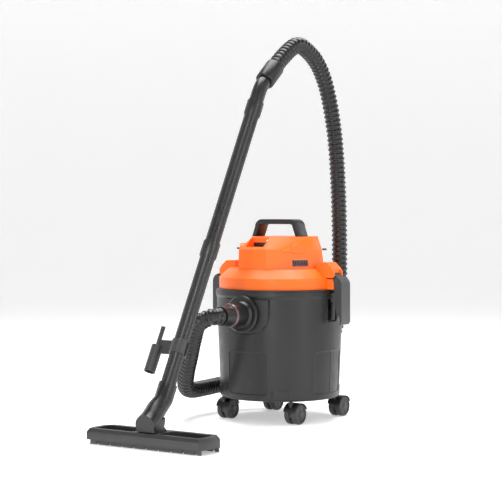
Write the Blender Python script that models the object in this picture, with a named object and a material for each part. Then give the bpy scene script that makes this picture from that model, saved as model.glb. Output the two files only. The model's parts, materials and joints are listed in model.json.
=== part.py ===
"""Wheeled shop vacuum with lift-off motor head, corrugated hose, two-piece wand and floor nozzle.

Metres, +Z up, floor at z = 0.  Everything is laid out around the drum's upright axis: the hose
inlet looks along -Y, the latches sit at +X and -X.  The empty "machine" then carries that layout to
its place, so that the origin is under the middle of the whole machine.
"""
import bmesh
import bpy
from math import atan2, cos, hypot, pi, radians, sin, sqrt
from mathutils import Vector

# ---------------------------------------------------------------- driving dimensions
GAP = 0.0003             # between pieces that touch
FIT = 0.0004             # radial clearance of pins and tubes in their bores
STEPS_BIG, STEPS_MID, STEPS_PIN = 48, 22, 12

# casters
CASTER_HALF = 0.0925     # swivel axes on a square of twice this side
CASTER_TRAIL, WHEEL_R, WHEEL_W, WHEEL_GAP = 0.0170, 0.0230, 0.0125, 0.0080
STEM_R, STEM_LONG, SOCKET_R = 0.0040, 0.0220, 0.0090
HOOD_T, HOOD_ROOM = 0.0016, 0.0030
CASTER_TOP_Z = 2 * WHEEL_R + HOOD_ROOM

# drum
DRUM_BOTTOM_Z, DRUM_TOP_Z = CASTER_TOP_Z + 0.0025, 0.3000
DRUM_BOTTOM_R, DRUM_TOP_R = 0.1360, 0.1455
DRUM_WALL = 0.0030
BEAD_OUT, BEAD_RAMP, BEAD_LOW_Z, BEAD_TOP_Z = 0.0026, 0.0072, DRUM_TOP_Z - 0.0200, DRUM_TOP_Z - 0.0050
LID_R = DRUM_TOP_R - 0.0060
FLANGE_IN_R = LID_R - 0.0050      # inner edge of the flange that carries the lid
PANEL_DEPTH, PANEL_HALF_ANGLE = 0.0012, 21.0
PANEL_LOW_Z, PANEL_HIGH_Z = 0.0670, 0.1610
BOSS_PROUD, BOSS_HALF_ANGLE, BOSS_LOW_Z, BOSS_HIGH_Z = 0.0025, 24.0, 0.2050, BEAD_LOW_Z - 0.0020
BOSS_CORNER = 0.0450

# inlet port and the hose end in it
INLET_Z = 0.2470
PORT_FLANGE_R, PORT_FLANGE_Y, PORT_FLANGE_T = 0.0420, DRUM_TOP_R + 0.0035, 0.0060
PORT_TUBE_R, PORT_FRONT_Y, PORT_BACK_Y = 0.0265, PORT_FLANGE_Y + 0.0470, PORT_FLANGE_Y - 0.0290
COLLAR_R, COLLAR_T = 0.0255, 0.0075
HOSE_CUFF_R, HOSE_CUFF_FRONT_Y = 0.0225, PORT_FRONT_Y + 0.0360
PORT_BORE_R = HOSE_CUFF_R + 0.0007
DEFLECTOR_R = 0.0290

# lid and motor cover
LID_WALL, LID_SKIRT_Z = 0.0025, DRUM_TOP_Z + GAP
LID_RIM_Z = LID_SKIRT_Z + 0.0252
LID_DECK_Z, LID_DECK_R = LID_RIM_Z + 0.0205, LID_R - 0.0235
LID_HOLE_R = 0.0620
COVER_WALL = 0.0030
COVER_FOOT = ((0.0380, -0.1120), (0.1030, -0.0140), (0.1030, 0.0280), (0.0530, 0.1010))
COVER_WAIST = ((0.0375, -0.1100), (0.0970, -0.0120), (0.0970, 0.0260), (0.0500, 0.0960))
COVER_CROWN = ((0.0230, -0.0760), (0.0800, 0.0020), (0.0880, 0.0240), (0.0460, 0.0890))
COVER_WAIST_Z = LID_DECK_Z + 0.0440
COVER_TOP_Z = COVER_WAIST_Z + 0.0280
NOTCH_HALF, NOTCH_BACK_Y, NOTCH_FLOOR_Z = 0.0240, -0.0780, COVER_WAIST_Z + 0.0055
SWITCH_LONG, SWITCH_HIGH, SWITCH_Z, SWITCH_TILT = 0.0370, 0.0080, NOTCH_FLOOR_Z + 0.0050, 7.0
VENT_LONG, VENT_HIGH, VENT_Z, VENT_ALONG = 0.0400, 0.0150, LID_DECK_Z + 0.0130, 0.0820
SCREW_R = 0.0035

# carry handle: a flat strap bent to a bridge
HANDLE_FOOT_HALF, HANDLE_TOP_HALF, HANDLE_TOP_Z = 0.0655, 0.0575, COVER_TOP_Z + 0.0395
HANDLE_DEEP, HANDLE_THICK, HANDLE_ROUND = 0.0390, 0.0112, 0.0180

# cord hooks on the cover's flanks, and the mains gland at the back
HOOK_DEEP, HOOK_THICK, HOOK_Z = 0.0160, 0.0040, COVER_WAIST_Z - 0.0010
HOOKS = {"right": (0.0914, 0.0343, 33.9, 0.0118), "left": (-0.0970, 0.0060, 180.0, 0.0255)}
GLAND_R, GLAND_OUT, GLAND_Z = 0.0080, 0.0160, LID_DECK_Z + 0.0180

# latches: hang from pins in the lid's side brackets and grip under the drum's bead
PIN_X, PIN_Z, PIN_R, PIN_HALF = LID_R + 0.0135, LID_RIM_Z + 0.0065, 0.0018, 0.0185
LATCH_HALF, LATCH_OUT, LATCH_BOTTOM_Z = 0.0185, PIN_X + 0.0250, BEAD_LOW_Z - 0.0580
BRACKET_HALF, CHEEK_IN, KNUCKLE_R = 0.0195, 0.0145, 0.0050
LATCH_CREST = 0.0180      # radius of the latch's rounded top
CHEEK_SWEEP = 0.0052      # latch cut back this far past the knuckle beside the bracket's cheeks

# motor head internals
MOTOR_R, MOTOR_LOW_Z, MOTOR_LONG = 0.0420, LID_DECK_Z + 0.0070, 0.0430
MOTOR_HIGH_Z = MOTOR_LOW_Z + MOTOR_LONG
CHAMBER_R, CHAMBER_LOW_Z = 0.0580, LID_DECK_Z - 0.0260
FAN_R, FAN_LOW_Z, FAN_HIGH_Z, FAN_BLADES = 0.0480, CHAMBER_LOW_Z + 0.0080, CHAMBER_LOW_Z + 0.0200, 9
SHAFT_R, SHAFT_LOW_Z, SHAFT_HIGH_Z = 0.0040, FAN_LOW_Z - 0.0020, MOTOR_HIGH_Z + 0.0080
PLATE_T = 0.0030
CAGE_R, CAGE_LOW_Z, CAGE_WALL = 0.0400, CHAMBER_LOW_Z - 0.1450, 0.0030
FILTER_T = 0.0090
FLOAT_R = 0.0240

# wand: straight tubes on one leaning axis, then a bent end tube
WAND_X, WAND_Y, WAND_Z, WAND_LEAN = 0.0500, -0.4820, 0.1240, 27.9
TUBE_R, TUBE_WALL = 0.0160, 0.0015
BELL_R, BELL_LONG = TUBE_R + 0.0026, 0.0320
TUBE_LONG = (0.3235, 0.3450)     # exposed lengths of the lower and the upper tube
BEND_START, BEND_R, BEND_ANGLE, BEND_TAIL = 0.0260, 0.0700, 22.0, 0.0200
CUFF_R, CUFF_LONG, CUFF_OVERLAP = TUBE_R + 0.0055, 0.0560, 0.0140
NECK_R, NECK_LONG = TUBE_R + 0.0036, 0.0400

# accessory holder on the lower tube
HOLDER_ALONG, HOLDER_HIGH, HOLDER_OUT, HOLDER_YAW = 0.0660, 0.0300, 0.0580, 0.0
POST_R, POST_BORE_R, POST_LONG, PEG_R, PEG_LONG = 0.0120, 0.0102, 0.0420, 0.0045, 0.0300

# floor nozzle
NOZZLE_X, NOZZLE_LONG, NOZZLE_FRONT, NOZZLE_DEEP = 0.0500, 0.3000, -0.5695, 0.0800
NOZZLE_LOW_Z, NOZZLE_HIGH_Z, NOZZLE_CORNER = 0.0100, 0.0330, 0.0180
SOLE_T, MOUTH_LONG, MOUTH_DEEP = 0.0030, 0.2300, 0.0180
STRIP_LONG, STRIP_T, STRIP_NOTCHES, STRIP_NOTCH_R = 0.2830, 0.0040, 9, 0.0030
PIVOT_Y, PIVOT_Z, PIVOT_R, PIVOT_HALF = -0.5320, 0.0285, 0.0165, 0.0230

# hose: centre line from the wand cuff to the drum's cuff, around the back of the drum
HOSE_R, HOSE_POINTS, HOSE_STUB = 0.0190, 76, 0.0120
HOSE_ROUTE = [
    (0.050, -0.004, 0.853), (0.050, 0.040, 0.842), (0.050, 0.080, 0.817), (0.050, 0.109, 0.782),
    (0.050, 0.128, 0.745), (0.050, 0.150, 0.679), (0.050, 0.164, 0.609), (0.050, 0.174, 0.510),
    (0.050, 0.178, 0.430), (0.050, 0.179, 0.359), (0.049, 0.180, 0.290), (0.041, 0.182, 0.215),
    (0.010, 0.186, 0.150), (-0.048, 0.180, 0.106), (-0.110, 0.143, 0.084), (-0.153, 0.080, 0.072),
    (-0.174, 0.010, 0.065), (-0.176, -0.060, 0.062), (-0.168, -0.117, 0.064),
    (-0.149, -0.162, 0.078), (-0.124, -0.192, 0.111), (-0.095, -0.217, 0.153),
    (-0.066, -0.242, 0.196), (-0.037, -0.262, 0.231),
]

MACHINE_X = (LATCH_OUT - NOZZLE_X - NOZZLE_LONG / 2) / 2
BEAD_R = DRUM_BOTTOM_R + BEAD_OUT + ((DRUM_TOP_R - DRUM_BOTTOM_R) * (BEAD_LOW_Z - DRUM_BOTTOM_Z)
                                     / (DRUM_TOP_Z - DRUM_BOTTOM_Z))
MACHINE_Y = -(NOZZLE_FRONT + BEAD_R) / 2

# ---------------------------------------------------------------- materials
FINISHES = {
    "drum_plastic": ((0.075, 0.077, 0.080), 0.50, 0.0),
    "orange_plastic": ((0.900, 0.170, 0.022), 0.38, 0.0),
    "black_plastic": ((0.012, 0.012, 0.014), 0.35, 0.0),
    "dark_plastic": ((0.035, 0.035, 0.037), 0.45, 0.0),
    "latch_plastic": ((0.130, 0.133, 0.137), 0.45, 0.0),
    "tube_plastic": ((0.045, 0.045, 0.047), 0.32, 0.0),
    "hose_plastic": ((0.030, 0.030, 0.032), 0.45, 0.0),
    "rubber": ((0.020, 0.020, 0.020), 0.70, 0.0),
    "collar_plastic": ((0.180, 0.110, 0.120), 0.30, 0.0),
    "steel": ((0.550, 0.550, 0.560), 0.30, 1.0),
    "filter_cloth": ((0.750, 0.740, 0.700), 0.90, 0.0),
    "white_plastic": ((0.700, 0.700, 0.680), 0.40, 0.0),
}


def material(slot):
    made = bpy.data.materials.get(slot)
    if made is None:
        colour, roughness, metallic = FINISHES[slot]
        made = bpy.data.materials.new(slot)
        made.use_nodes = True
        shader = made.node_tree.nodes["Principled BSDF"]
        shader.inputs["Base Color"].default_value = (*colour, 1.0)
        shader.inputs["Roughness"].default_value = roughness
        shader.inputs["Metallic"].default_value = metallic
    return made


# ---------------------------------------------------------------- building blocks
def clear_scene():
    for thing in list(bpy.data.objects):
        bpy.data.objects.remove(thing, do_unlink=True)


def empty(name, parent=None, at=(0, 0, 0), turn=(0, 0, 0)):
    made = bpy.data.objects.new(name, None)
    bpy.context.collection.objects.link(made)
    made.parent = parent
    made.location = at
    made.rotation_euler = [radians(a) for a in turn]
    return made


def solid(name, bm, slot, parent, at=(0, 0, 0), turn=(0, 0, 0), smooth=True):
    """A mesh object placed under its parent; slot None makes it a cutter."""
    bmesh.ops.recalc_face_normals(bm, faces=bm.faces)
    mesh = bpy.data.meshes.new(name)
    bm.to_mesh(mesh)
    bm.free()
    made = bpy.data.objects.new(name, mesh)
    bpy.context.collection.objects.link(made)
    made.parent = parent
    made.location = at
    made.rotation_euler = [radians(a) for a in turn]
    if smooth:
        mesh.shade_smooth()
        mesh.set_sharp_from_angle(angle=radians(35))
    if slot is None:
        made.hide_render = True
        made.display_type = 'WIRE'
    else:
        mesh.materials.append(material(slot))
    return made


def combine(target, tool, operation):
    """Add a Boolean modifier and make the tool a guide."""
    modifier = target.modifiers.new(operation.lower(), 'BOOLEAN')
    modifier.operation = operation
    modifier.object = tool
    tool.hide_render = True
    tool.display_type = 'WIRE'
    return target


def cut(target, tool):
    return combine(target, tool, 'DIFFERENCE')


def join(target, tool):
    return combine(target, tool, 'UNION')


def turned(profile, steps):
    """Turn a closed (radius, z) outline about Z; outline points on the axis become poles."""
    bm = bmesh.new()
    rings = []
    for radius, z in profile:
        if radius < 1e-7:
            rings.append([bm.verts.new((0, 0, z))])
        else:
            rings.append([bm.verts.new((radius * cos(2 * pi * k / steps),
                                        radius * sin(2 * pi * k / steps), z))
                          for k in range(steps)])
    for a, b in zip(rings, rings[1:] + rings[:1]):
        for k in range(steps):
            n = (k + 1) % steps
            corners = [a[k % len(a)], a[n % len(a)], b[n % len(b)], b[k % len(b)]]
            corners = list(dict.fromkeys(corners))
            if len(corners) > 2:
                bm.faces.new(corners)
    return bm


def prism(outline, low, high, axis='Z'):
    """Extrude a 2D outline: (x, y) along Z, (y, z) along X or (x, z) along Y."""
    bm = bmesh.new()

    def point(a, b, c):
        return {'X': (c, a, b), 'Y': (a, c, b), 'Z': (a, b, c)}[axis]

    bottom = [bm.verts.new(point(a, b, low)) for a, b in outline]
    top = [bm.verts.new(point(a, b, high)) for a, b in outline]
    bm.faces.new(bottom)
    bm.faces.new(top)
    for k in range(len(outline)):
        n = (k + 1) % len(outline)
        bm.faces.new((bottom[k], bottom[n], top[n], top[k]))
    return bm


def box(low, high):
    return prism([(low[0], low[1]), (high[0], low[1]), (high[0], high[1]), (low[0], high[1])],
                 low[2], high[2])


def rod(radius, low, high, steps=STEPS_PIN, axis='Z'):
    outline = [(radius * cos(2 * pi * k / steps), radius * sin(2 * pi * k / steps))
               for k in range(steps)]
    return prism(outline, low, high, axis)


def arc(centre, radius, start, end, count):
    """Points on an arc, angles in degrees."""
    return [(centre[0] + radius * cos(radians(start + (end - start) * k / count)),
             centre[1] + radius * sin(radians(start + (end - start) * k / count)))
            for k in range(count + 1)]


def rounded_rectangle(x0, x1, y0, y1, radius, count=4):
    return (arc((x1 - radius, y1 - radius), radius, 0, 90, count)
            + arc((x0 + radius, y1 - radius), radius, 90, 180, count)
            + arc((x0 + radius, y0 + radius), radius, 180, 270, count)
            + arc((x1 - radius, y0 + radius), radius, 270, 360, count))


def loft(sections):
    """Skin equal-length closed sections (lists of 3D points) and cap both ends."""
    bm = bmesh.new()
    rings = [[bm.verts.new(p) for p in section] for section in sections]
    for a, b in zip(rings, rings[1:]):
        for k in range(len(a)):
            n = (k + 1) % len(a)
            bm.faces.new((a[k], a[n], b[n], b[k]))
    bm.faces.new(rings[0])
    bm.faces.new(rings[-1])
    return bm


def pipe(points, radius, steps=STEPS_MID):
    """A round bar along points whose path lies in a plane x = constant."""
    points = [Vector(p) for p in points]
    sideways = Vector((1, 0, 0))
    sections = []
    for k, point in enumerate(points):
        before = points[max(k - 1, 0)]
        after = points[min(k + 1, len(points) - 1)]
        normal = sideways.cross(after - before).normalized()
        sections.append([point + sideways * (radius * cos(2 * pi * n / steps))
                         + normal * (radius * sin(2 * pi * n / steps)) for n in range(steps)])
    return loft(sections)


def tube_curve(name, points, radius, slot, parent, resolution=3):
    """A round bar along a line of points, as a bevelled curve with filled caps."""
    curve = bpy.data.curves.new(name, 'CURVE')
    curve.dimensions = '3D'
    curve.render_resolution_u = 0
    curve.bevel_depth = radius
    curve.bevel_resolution = resolution
    curve.use_fill_caps = True
    spline = curve.splines.new('POLY')
    spline.points.add(len(points) - 1)
    for point, place in zip(spline.points, points):
        point.co = (*place, 1.0)
    curve.materials.append(material(slot))
    made = bpy.data.objects.new(name, curve)
    bpy.context.collection.objects.link(made)
    made.parent = parent
    return made


def smooth_path(route, count):
    """Evenly spaced points on a centripetal Catmull-Rom curve through the route."""
    knots = [Vector(p) for p in route]
    knots = [2 * knots[0] - knots[1]] + knots + [2 * knots[-1] - knots[-2]]
    fine = []
    for p0, p1, p2, p3 in zip(knots, knots[1:], knots[2:], knots[3:]):
        t1 = (p1 - p0).length ** 0.5
        t2 = t1 + (p2 - p1).length ** 0.5
        t3 = t2 + (p3 - p2).length ** 0.5
        for k in range(24):
            t = t1 + (t2 - t1) * k / 24
            a1 = p0 * (t1 - t) / t1 + p1 * t / t1
            a2 = p1 * (t2 - t) / (t2 - t1) + p2 * (t - t1) / (t2 - t1)
            a3 = p2 * (t3 - t) / (t3 - t2) + p3 * (t - t2) / (t3 - t2)
            b1 = a1 * (t2 - t) / t2 + a2 * t / t2
            b2 = a2 * (t3 - t) / (t3 - t1) + a3 * (t - t1) / (t3 - t1)
            fine.append(b1 * (t2 - t) / (t2 - t1) + b2 * (t - t1) / (t2 - t1))
    fine.append(knots[-2])
    reach = [0.0]
    for a, b in zip(fine, fine[1:]):
        reach.append(reach[-1] + (b - a).length)
    even, k = [], 0
    for n in range(count):
        goal = reach[-1] * n / (count - 1)
        while k < len(fine) - 2 and reach[k + 1] < goal:
            k += 1
        share = (goal - reach[k]) / (reach[k + 1] - reach[k])
        even.append(fine[k].lerp(fine[k + 1], share))
    return even


# ---------------------------------------------------------------- drum
def drum_r(z):
    """Outer radius of the tapered drum wall at a height."""
    share = (z - DRUM_BOTTOM_Z) / (DRUM_TOP_Z - DRUM_BOTTOM_Z)
    return DRUM_BOTTOM_R + (DRUM_TOP_R - DRUM_BOTTOM_R) * share


def wrapped_panel(middle, half, low, high, corner_low, corner_high, inner, outer, steps=6):
    """A panel wrapped onto the drum wall: angles in degrees, rounded corners, inner/outer offset."""
    wide = radians(half) * drum_r(low)
    corner = max(corner_low, corner_high)
    edges = [corner * (1 - cos(radians(t))) for t in (0, 30, 60, 90)]
    middles = [corner + (2 * wide - 2 * corner) * k / steps for k in range(1, steps)]
    columns = edges + middles + [2 * wide - e for e in reversed(edges)]

    def rise(from_edge, radius):
        short = max(radius - from_edge, 0.0)
        return radius - (radius * radius - short * short) ** 0.5

    bm = bmesh.new()
    rows = []
    for along in columns:
        from_edge = min(along, 2 * wide - along)
        angle = radians(middle) + (along - wide) / drum_r(low)
        ring = []
        for z in (low + rise(from_edge, corner_low), high - rise(from_edge, corner_high)):
            for offset in (inner, outer):
                r = drum_r(z) + offset
                ring.append(bm.verts.new((r * cos(angle), r * sin(angle), z)))
        rows.append([ring[0], ring[1], ring[3], ring[2]])
    for a, b in zip(rows, rows[1:]):
        for k in range(4):
            n = (k + 1) % 4
            bm.faces.new((a[k], a[n], b[n], b[k]))
    bm.faces.new(rows[0])
    bm.faces.new(rows[-1])
    return bm


def caster_places():
    return {"front_left": (-1, -1), "front_right": (1, -1),
            "rear_left": (-1, 1), "rear_right": (1, 1)}


def make_drum(machine):
    inner_bottom = DRUM_BOTTOM_Z + DRUM_WALL
    bead_r = drum_r(BEAD_LOW_Z)
    profile = [
        (0.0, DRUM_BOTTOM_Z), (DRUM_BOTTOM_R - 0.006, DRUM_BOTTOM_Z),
        (DRUM_BOTTOM_R - 0.0015, DRUM_BOTTOM_Z + 0.002), (drum_r(0.057), 0.057),
        (bead_r, BEAD_LOW_Z), (bead_r + BEAD_OUT, BEAD_LOW_Z + BEAD_RAMP),
        (bead_r + BEAD_OUT, BEAD_TOP_Z - 0.001), (drum_r(BEAD_TOP_Z), BEAD_TOP_Z),
        (DRUM_TOP_R, DRUM_TOP_Z), (FLANGE_IN_R, DRUM_TOP_Z), (FLANGE_IN_R, DRUM_TOP_Z - DRUM_WALL),
        (DRUM_TOP_R - DRUM_WALL, DRUM_TOP_Z - 2 * DRUM_WALL),
        (drum_r(inner_bottom + 0.004) - DRUM_WALL, inner_bottom + 0.004),
        (DRUM_BOTTOM_R - DRUM_WALL - 0.005, inner_bottom), (0.0, inner_bottom),
    ]
    drum = solid("drum", turned(profile, STEPS_BIG), "drum_plastic", machine)
    boss = wrapped_panel(-90, BOSS_HALF_ANGLE, BOSS_LOW_Z, BOSS_HIGH_Z, BOSS_CORNER, 0.0,
                         -DRUM_WALL / 2, BOSS_PROUD)
    join(drum, solid("drum_boss", boss, "drum_plastic", machine))
    for k in range(4):
        sunk = wrapped_panel(90 * k, PANEL_HALF_ANGLE, PANEL_LOW_Z, PANEL_HIGH_Z, 0.008, 0.008,
                             -PANEL_DEPTH, 0.01)
        cut(drum, solid(f"panel_cut_{k}", sunk, None, machine))
    for name, (sx, sy) in caster_places().items():
        at = (sx * CASTER_HALF, sy * CASTER_HALF, 0)
        post = rod(SOCKET_R, DRUM_BOTTOM_Z, DRUM_BOTTOM_Z + STEM_LONG + 0.009)
        join(drum, solid(f"socket_{name}", post, "drum_plastic", machine, at))
        hole = rod(STEM_R + FIT, DRUM_BOTTOM_Z - 0.01, DRUM_BOTTOM_Z + STEM_LONG + 0.002)
        cut(drum, solid(f"socket_bore_{name}", hole, None, machine, at))
    hole = rod(PORT_TUBE_R + GAP, -PORT_FLANGE_Y - 0.01, -PORT_BACK_Y + 0.01, STEPS_MID, 'Y')
    cut(drum, solid("inlet_hole", hole, None, machine, (0, 0, INLET_Z)))
    return drum


# ---------------------------------------------------------------- inlet
def make_inlet(machine):
    """Port, deflector, collar and hose cuff, all turned about the inlet axis (local +Z = out)."""
    axis = empty("inlet_axis", machine, (0, 0, INLET_Z), (90, 0, 0))
    flange_back = PORT_FLANGE_Y + GAP
    profile = [
        (PORT_BORE_R, PORT_BACK_Y), (PORT_TUBE_R, PORT_BACK_Y), (PORT_TUBE_R, flange_back),
        (PORT_FLANGE_R, flange_back), (PORT_FLANGE_R, flange_back + 0.003),
        (PORT_FLANGE_R - 0.003, flange_back + PORT_FLANGE_T),
        (PORT_TUBE_R + 0.004, flange_back + PORT_FLANGE_T), (PORT_TUBE_R, flange_back + 0.012),
        (PORT_TUBE_R, PORT_FRONT_Y), (PORT_BORE_R, PORT_FRONT_Y),
    ]
    solid("inlet_port", turned(profile, STEPS_MID), "black_plastic", axis)

    back = PORT_BACK_Y - GAP
    profile = [
        (DEFLECTOR_R - 0.002, back - 0.030), (DEFLECTOR_R, back - 0.030), (DEFLECTOR_R, back),
        (PORT_BORE_R, back), (PORT_BORE_R, back - 0.002), (DEFLECTOR_R - 0.002, back - 0.002),
    ]
    deflector = solid("inlet_deflector", turned(profile, STEPS_MID), "dark_plastic", axis)
    cap = rod(DEFLECTOR_R, back - 0.0315, back - 0.0290, STEPS_MID)
    join(deflector, solid("deflector_cap", cap, "dark_plastic", axis))
    mouth = box((-DEFLECTOR_R, -DEFLECTOR_R - 0.002, back - 0.0270), (DEFLECTOR_R, -0.006, back - 0.004))
    cut(deflector, solid("deflector_mouth", mouth, None, axis))

    front = PORT_FRONT_Y + GAP
    profile = [
        (PORT_BORE_R - 0.004, front), (COLLAR_R, front), (COLLAR_R + 0.0015, front + 0.002),
        (COLLAR_R, front + COLLAR_T), (PORT_BORE_R - 0.004, front + COLLAR_T),
    ]
    solid("hose_collar", turned(profile, STEPS_MID), "collar_plastic", axis)

    start = front + COLLAR_T + GAP
    bore = PORT_BORE_R - 0.004
    spigot = bore - FIT
    profile = [
        (spigot - 0.002, start - 0.050), (spigot, start - 0.050), (spigot, start),
        (HOSE_CUFF_R + 0.0010, start), (HOSE_CUFF_R, start + 0.003),
        (HOSE_CUFF_R - 0.0015, HOSE_CUFF_FRONT_Y), (spigot - 0.002, HOSE_CUFF_FRONT_Y),
    ]
    solid("drum_hose_cuff", turned(profile, STEPS_MID), "black_plastic", axis)


# ---------------------------------------------------------------- lid and head
def mirrored(half):
    """A closed outline from the right-hand half, front to back."""
    return list(half) + [(-x, y) for x, y in reversed(half)]


def inset(outline, distance):
    """Move every edge of a convex anticlockwise outline inwards."""
    lines = []
    for a, b in zip(outline, outline[1:] + outline[:1]):
        a, b = Vector(a), Vector(b)
        along = (b - a).normalized()
        inward = Vector((-along.y, along.x)) * distance
        lines.append((a + inward, along))
    moved = []
    for (p, d), (q, e) in zip(lines[-1:] + lines[:-1], lines):
        share = ((q - p).x * e.y - (q - p).y * e.x) / (d.x * e.y - d.y * e.x)
        moved.append(tuple(p + d * share))
    return moved


def hip(levels):
    """Skin outlines at given heights: [(outline, z), ...]."""
    return loft([[(x, y, z) for x, y in outline] for outline, z in levels])


def bracket_outline():
    """Side view (x, z) of a latch bracket on the lid's shoulder."""
    roof = LID_DECK_Z + 0.0150
    return ([(LID_DECK_R - 0.0060, LID_DECK_Z - 0.0015), (LID_DECK_R - 0.0010, roof), (LID_R - 0.0015, roof),
             (PIN_X - 0.0020, PIN_Z + 0.0180), (PIN_X + KNUCKLE_R, PIN_Z + 0.0080)]
            + arc((PIN_X, PIN_Z), KNUCKLE_R, 0, -90, 4)
            + [(LID_R - 0.0040, PIN_Z - KNUCKLE_R), (LID_R - 0.0060, PIN_Z - 0.0030)])


def make_lid(lid_body):
    profile = [
        (LID_R - 0.0003, LID_SKIRT_Z), (LID_R, LID_SKIRT_Z + 0.0010), (LID_R, LID_RIM_Z),
        (LID_R - 0.0025, LID_RIM_Z + 0.0025), (LID_DECK_R, LID_DECK_Z), (LID_HOLE_R, LID_DECK_Z),
        (LID_HOLE_R, LID_DECK_Z - LID_WALL), (LID_DECK_R - 0.0010, LID_DECK_Z - LID_WALL),
        (LID_R - 0.0080, LID_RIM_Z - 0.0010), (LID_R - LID_WALL - 0.0003, LID_RIM_Z - 0.0030),
        (LID_R - LID_WALL, LID_SKIRT_Z),
    ]
    lid = solid("lid", turned(profile, STEPS_BIG), "orange_plastic", lid_body)
    for side, turn in (("right", 0), ("left", 180)):
        bracket = prism(bracket_outline(), -BRACKET_HALF, BRACKET_HALF, 'Y')
        join(lid, solid(f"bracket_{side}", bracket, "orange_plastic", lid_body, turn=(0, 0, turn)))
        slot = prism(arc((PIN_X, PIN_Z), KNUCKLE_R + 0.0006, 90, 180, 5)
                     + [(PIN_X - KNUCKLE_R - 0.0006, PIN_Z - KNUCKLE_R - 0.001),
                        (PIN_X + 0.02, PIN_Z - KNUCKLE_R - 0.001), (PIN_X + 0.02, PIN_Z + 0.0380),
                        (PIN_X + 0.0002, PIN_Z + 0.0380), (PIN_X + 0.0002, PIN_Z + KNUCKLE_R + 0.0006)],
                     -CHEEK_IN, CHEEK_IN, 'Y')
        cut(lid, solid(f"latch_slot_{side}", slot, None, lid_body, turn=(0, 0, turn)))
        hole = rod(PIN_R + 0.00005, -PIN_HALF - GAP, PIN_HALF + GAP, STEPS_PIN, 'Y')
        cut(lid, solid(f"pin_bore_{side}", hole, None, lid_body, _turned_place(side), (0, 0, turn)))
    return lid


def _turned_place(side):
    return (PIN_X if side == "right" else -PIN_X, 0, PIN_Z)


def make_cover(lid_body):
    foot_z = LID_DECK_Z + GAP
    foot, waist, crown = (mirrored(half) for half in (COVER_FOOT, COVER_WAIST, COVER_CROWN))
    outer = hip([(foot, foot_z), (waist, COVER_WAIST_Z), (crown, COVER_TOP_Z)])
    cover = solid("motor_cover", outer, "orange_plastic", lid_body, smooth=False)
    hollow = hip([(inset(foot, COVER_WALL), foot_z - 0.001),
                  (inset(waist, COVER_WALL), COVER_WAIST_Z - COVER_WALL / 2),
                  (inset(crown, COVER_WALL), COVER_TOP_Z - COVER_WALL)])
    inside = solid("cover_hollow", hollow, None, lid_body)
    notch_box = box((-NOTCH_HALF - COVER_WALL, NOTCH_BACK_Y + COVER_WALL, NOTCH_FLOOR_Z - COVER_WALL),
                    (NOTCH_HALF + COVER_WALL, -0.2, 0.5))
    cut(inside, solid("notch_backing", notch_box, None, lid_body))
    cut(cover, inside)
    notch = box((-NOTCH_HALF, -0.2, NOTCH_FLOOR_Z), (NOTCH_HALF, NOTCH_BACK_Y, 0.5))
    cut(cover, solid("notch", notch, None, lid_body))
    window = box((-SWITCH_LONG / 2 - 0.0008, NOTCH_BACK_Y - 0.002, SWITCH_Z - SWITCH_HIGH / 2 - 0.0008),
                 (SWITCH_LONG / 2 + 0.0008, NOTCH_BACK_Y + 0.010, SWITCH_Z + SWITCH_HIGH / 2 + 0.0008))
    cut(cover, solid("switch_window", window, None, lid_body))
    for side, sign in (("right", 1), ("left", -1)):
        frame = vent_frame(lid_body, side, sign)
        hole = box((-VENT_LONG / 2, -0.02, -VENT_HIGH / 2), (VENT_LONG / 2, 0.02, VENT_HIGH / 2))
        cut(cover, solid(f"vent_hole_{side}", hole, None, frame))
    gland_hole = rod(GLAND_R - 0.002 + GAP, 0.05, 0.13, STEPS_PIN, 'Y')
    cut(cover, solid("gland_hole", gland_hole, None, lid_body, (0, 0, GLAND_Z)))
    for sx in (-1, 1):
        hole = rod(0.0019, COVER_WAIST_Z - 0.01, COVER_TOP_Z + 0.02)
        at = (sx * handle_foot_x(), 0, 0)
        cut(cover, solid(f"handle_hole_{sx}", hole, None, lid_body, at))
    return cover


def vent_frame(lid_body, side, sign):
    """Frame on a front side face of the cover: local -Y looks out, local X runs along the face."""
    (x0, y0), (x1, y1) = COVER_WAIST[0], COVER_WAIST[1]
    (f0, g0), (f1, g1) = COVER_FOOT[0], COVER_FOOT[1]
    length = hypot(x1 - x0, y1 - y0)
    rise = (VENT_Z - LID_DECK_Z) / (COVER_WAIST_Z - LID_DECK_Z)
    share = VENT_ALONG / length
    x = (f0 + (f1 - f0) * share) * (1 - rise) + (x0 + (x1 - x0) * share) * rise
    y = (g0 + (g1 - g0) * share) * (1 - rise) + (y0 + (y1 - y0) * share) * rise
    yaw = atan2(y1 - y0, x1 - x0) * 180 / pi
    return empty(f"vent_{side}_place", lid_body, (sign * x, y, VENT_Z), (0, 0, sign * yaw))


def make_vents(lid_body):
    """A louvred grille that fills each side opening, set just below the surface."""
    for side, sign in (("right", 1), ("left", -1)):
        frame = vent_frame(lid_body, side + "_grille", sign)
        long, high = VENT_LONG / 2 - GAP, VENT_HIGH / 2 - GAP
        grille = solid(f"vent_grille_{side}", box((-long, 0.0012, -high), (long, 0.0060, high)),
                       "dark_plastic", frame, smooth=False)
        slots = 8
        pitch = (2 * long - 0.003) / slots
        for k in range(slots):
            x = -long + 0.0015 + pitch * (k + 0.5)
            slit = box((x - pitch * 0.3, -0.01, -high + 0.002), (x + pitch * 0.3, 0.02, high - 0.002))
            cut(grille, solid(f"slit_{side}_{k}", slit, None, frame))


def handle_foot_x():
    """Middle of the handle's foot."""
    return HANDLE_FOOT_HALF - HANDLE_THICK / 2


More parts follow.
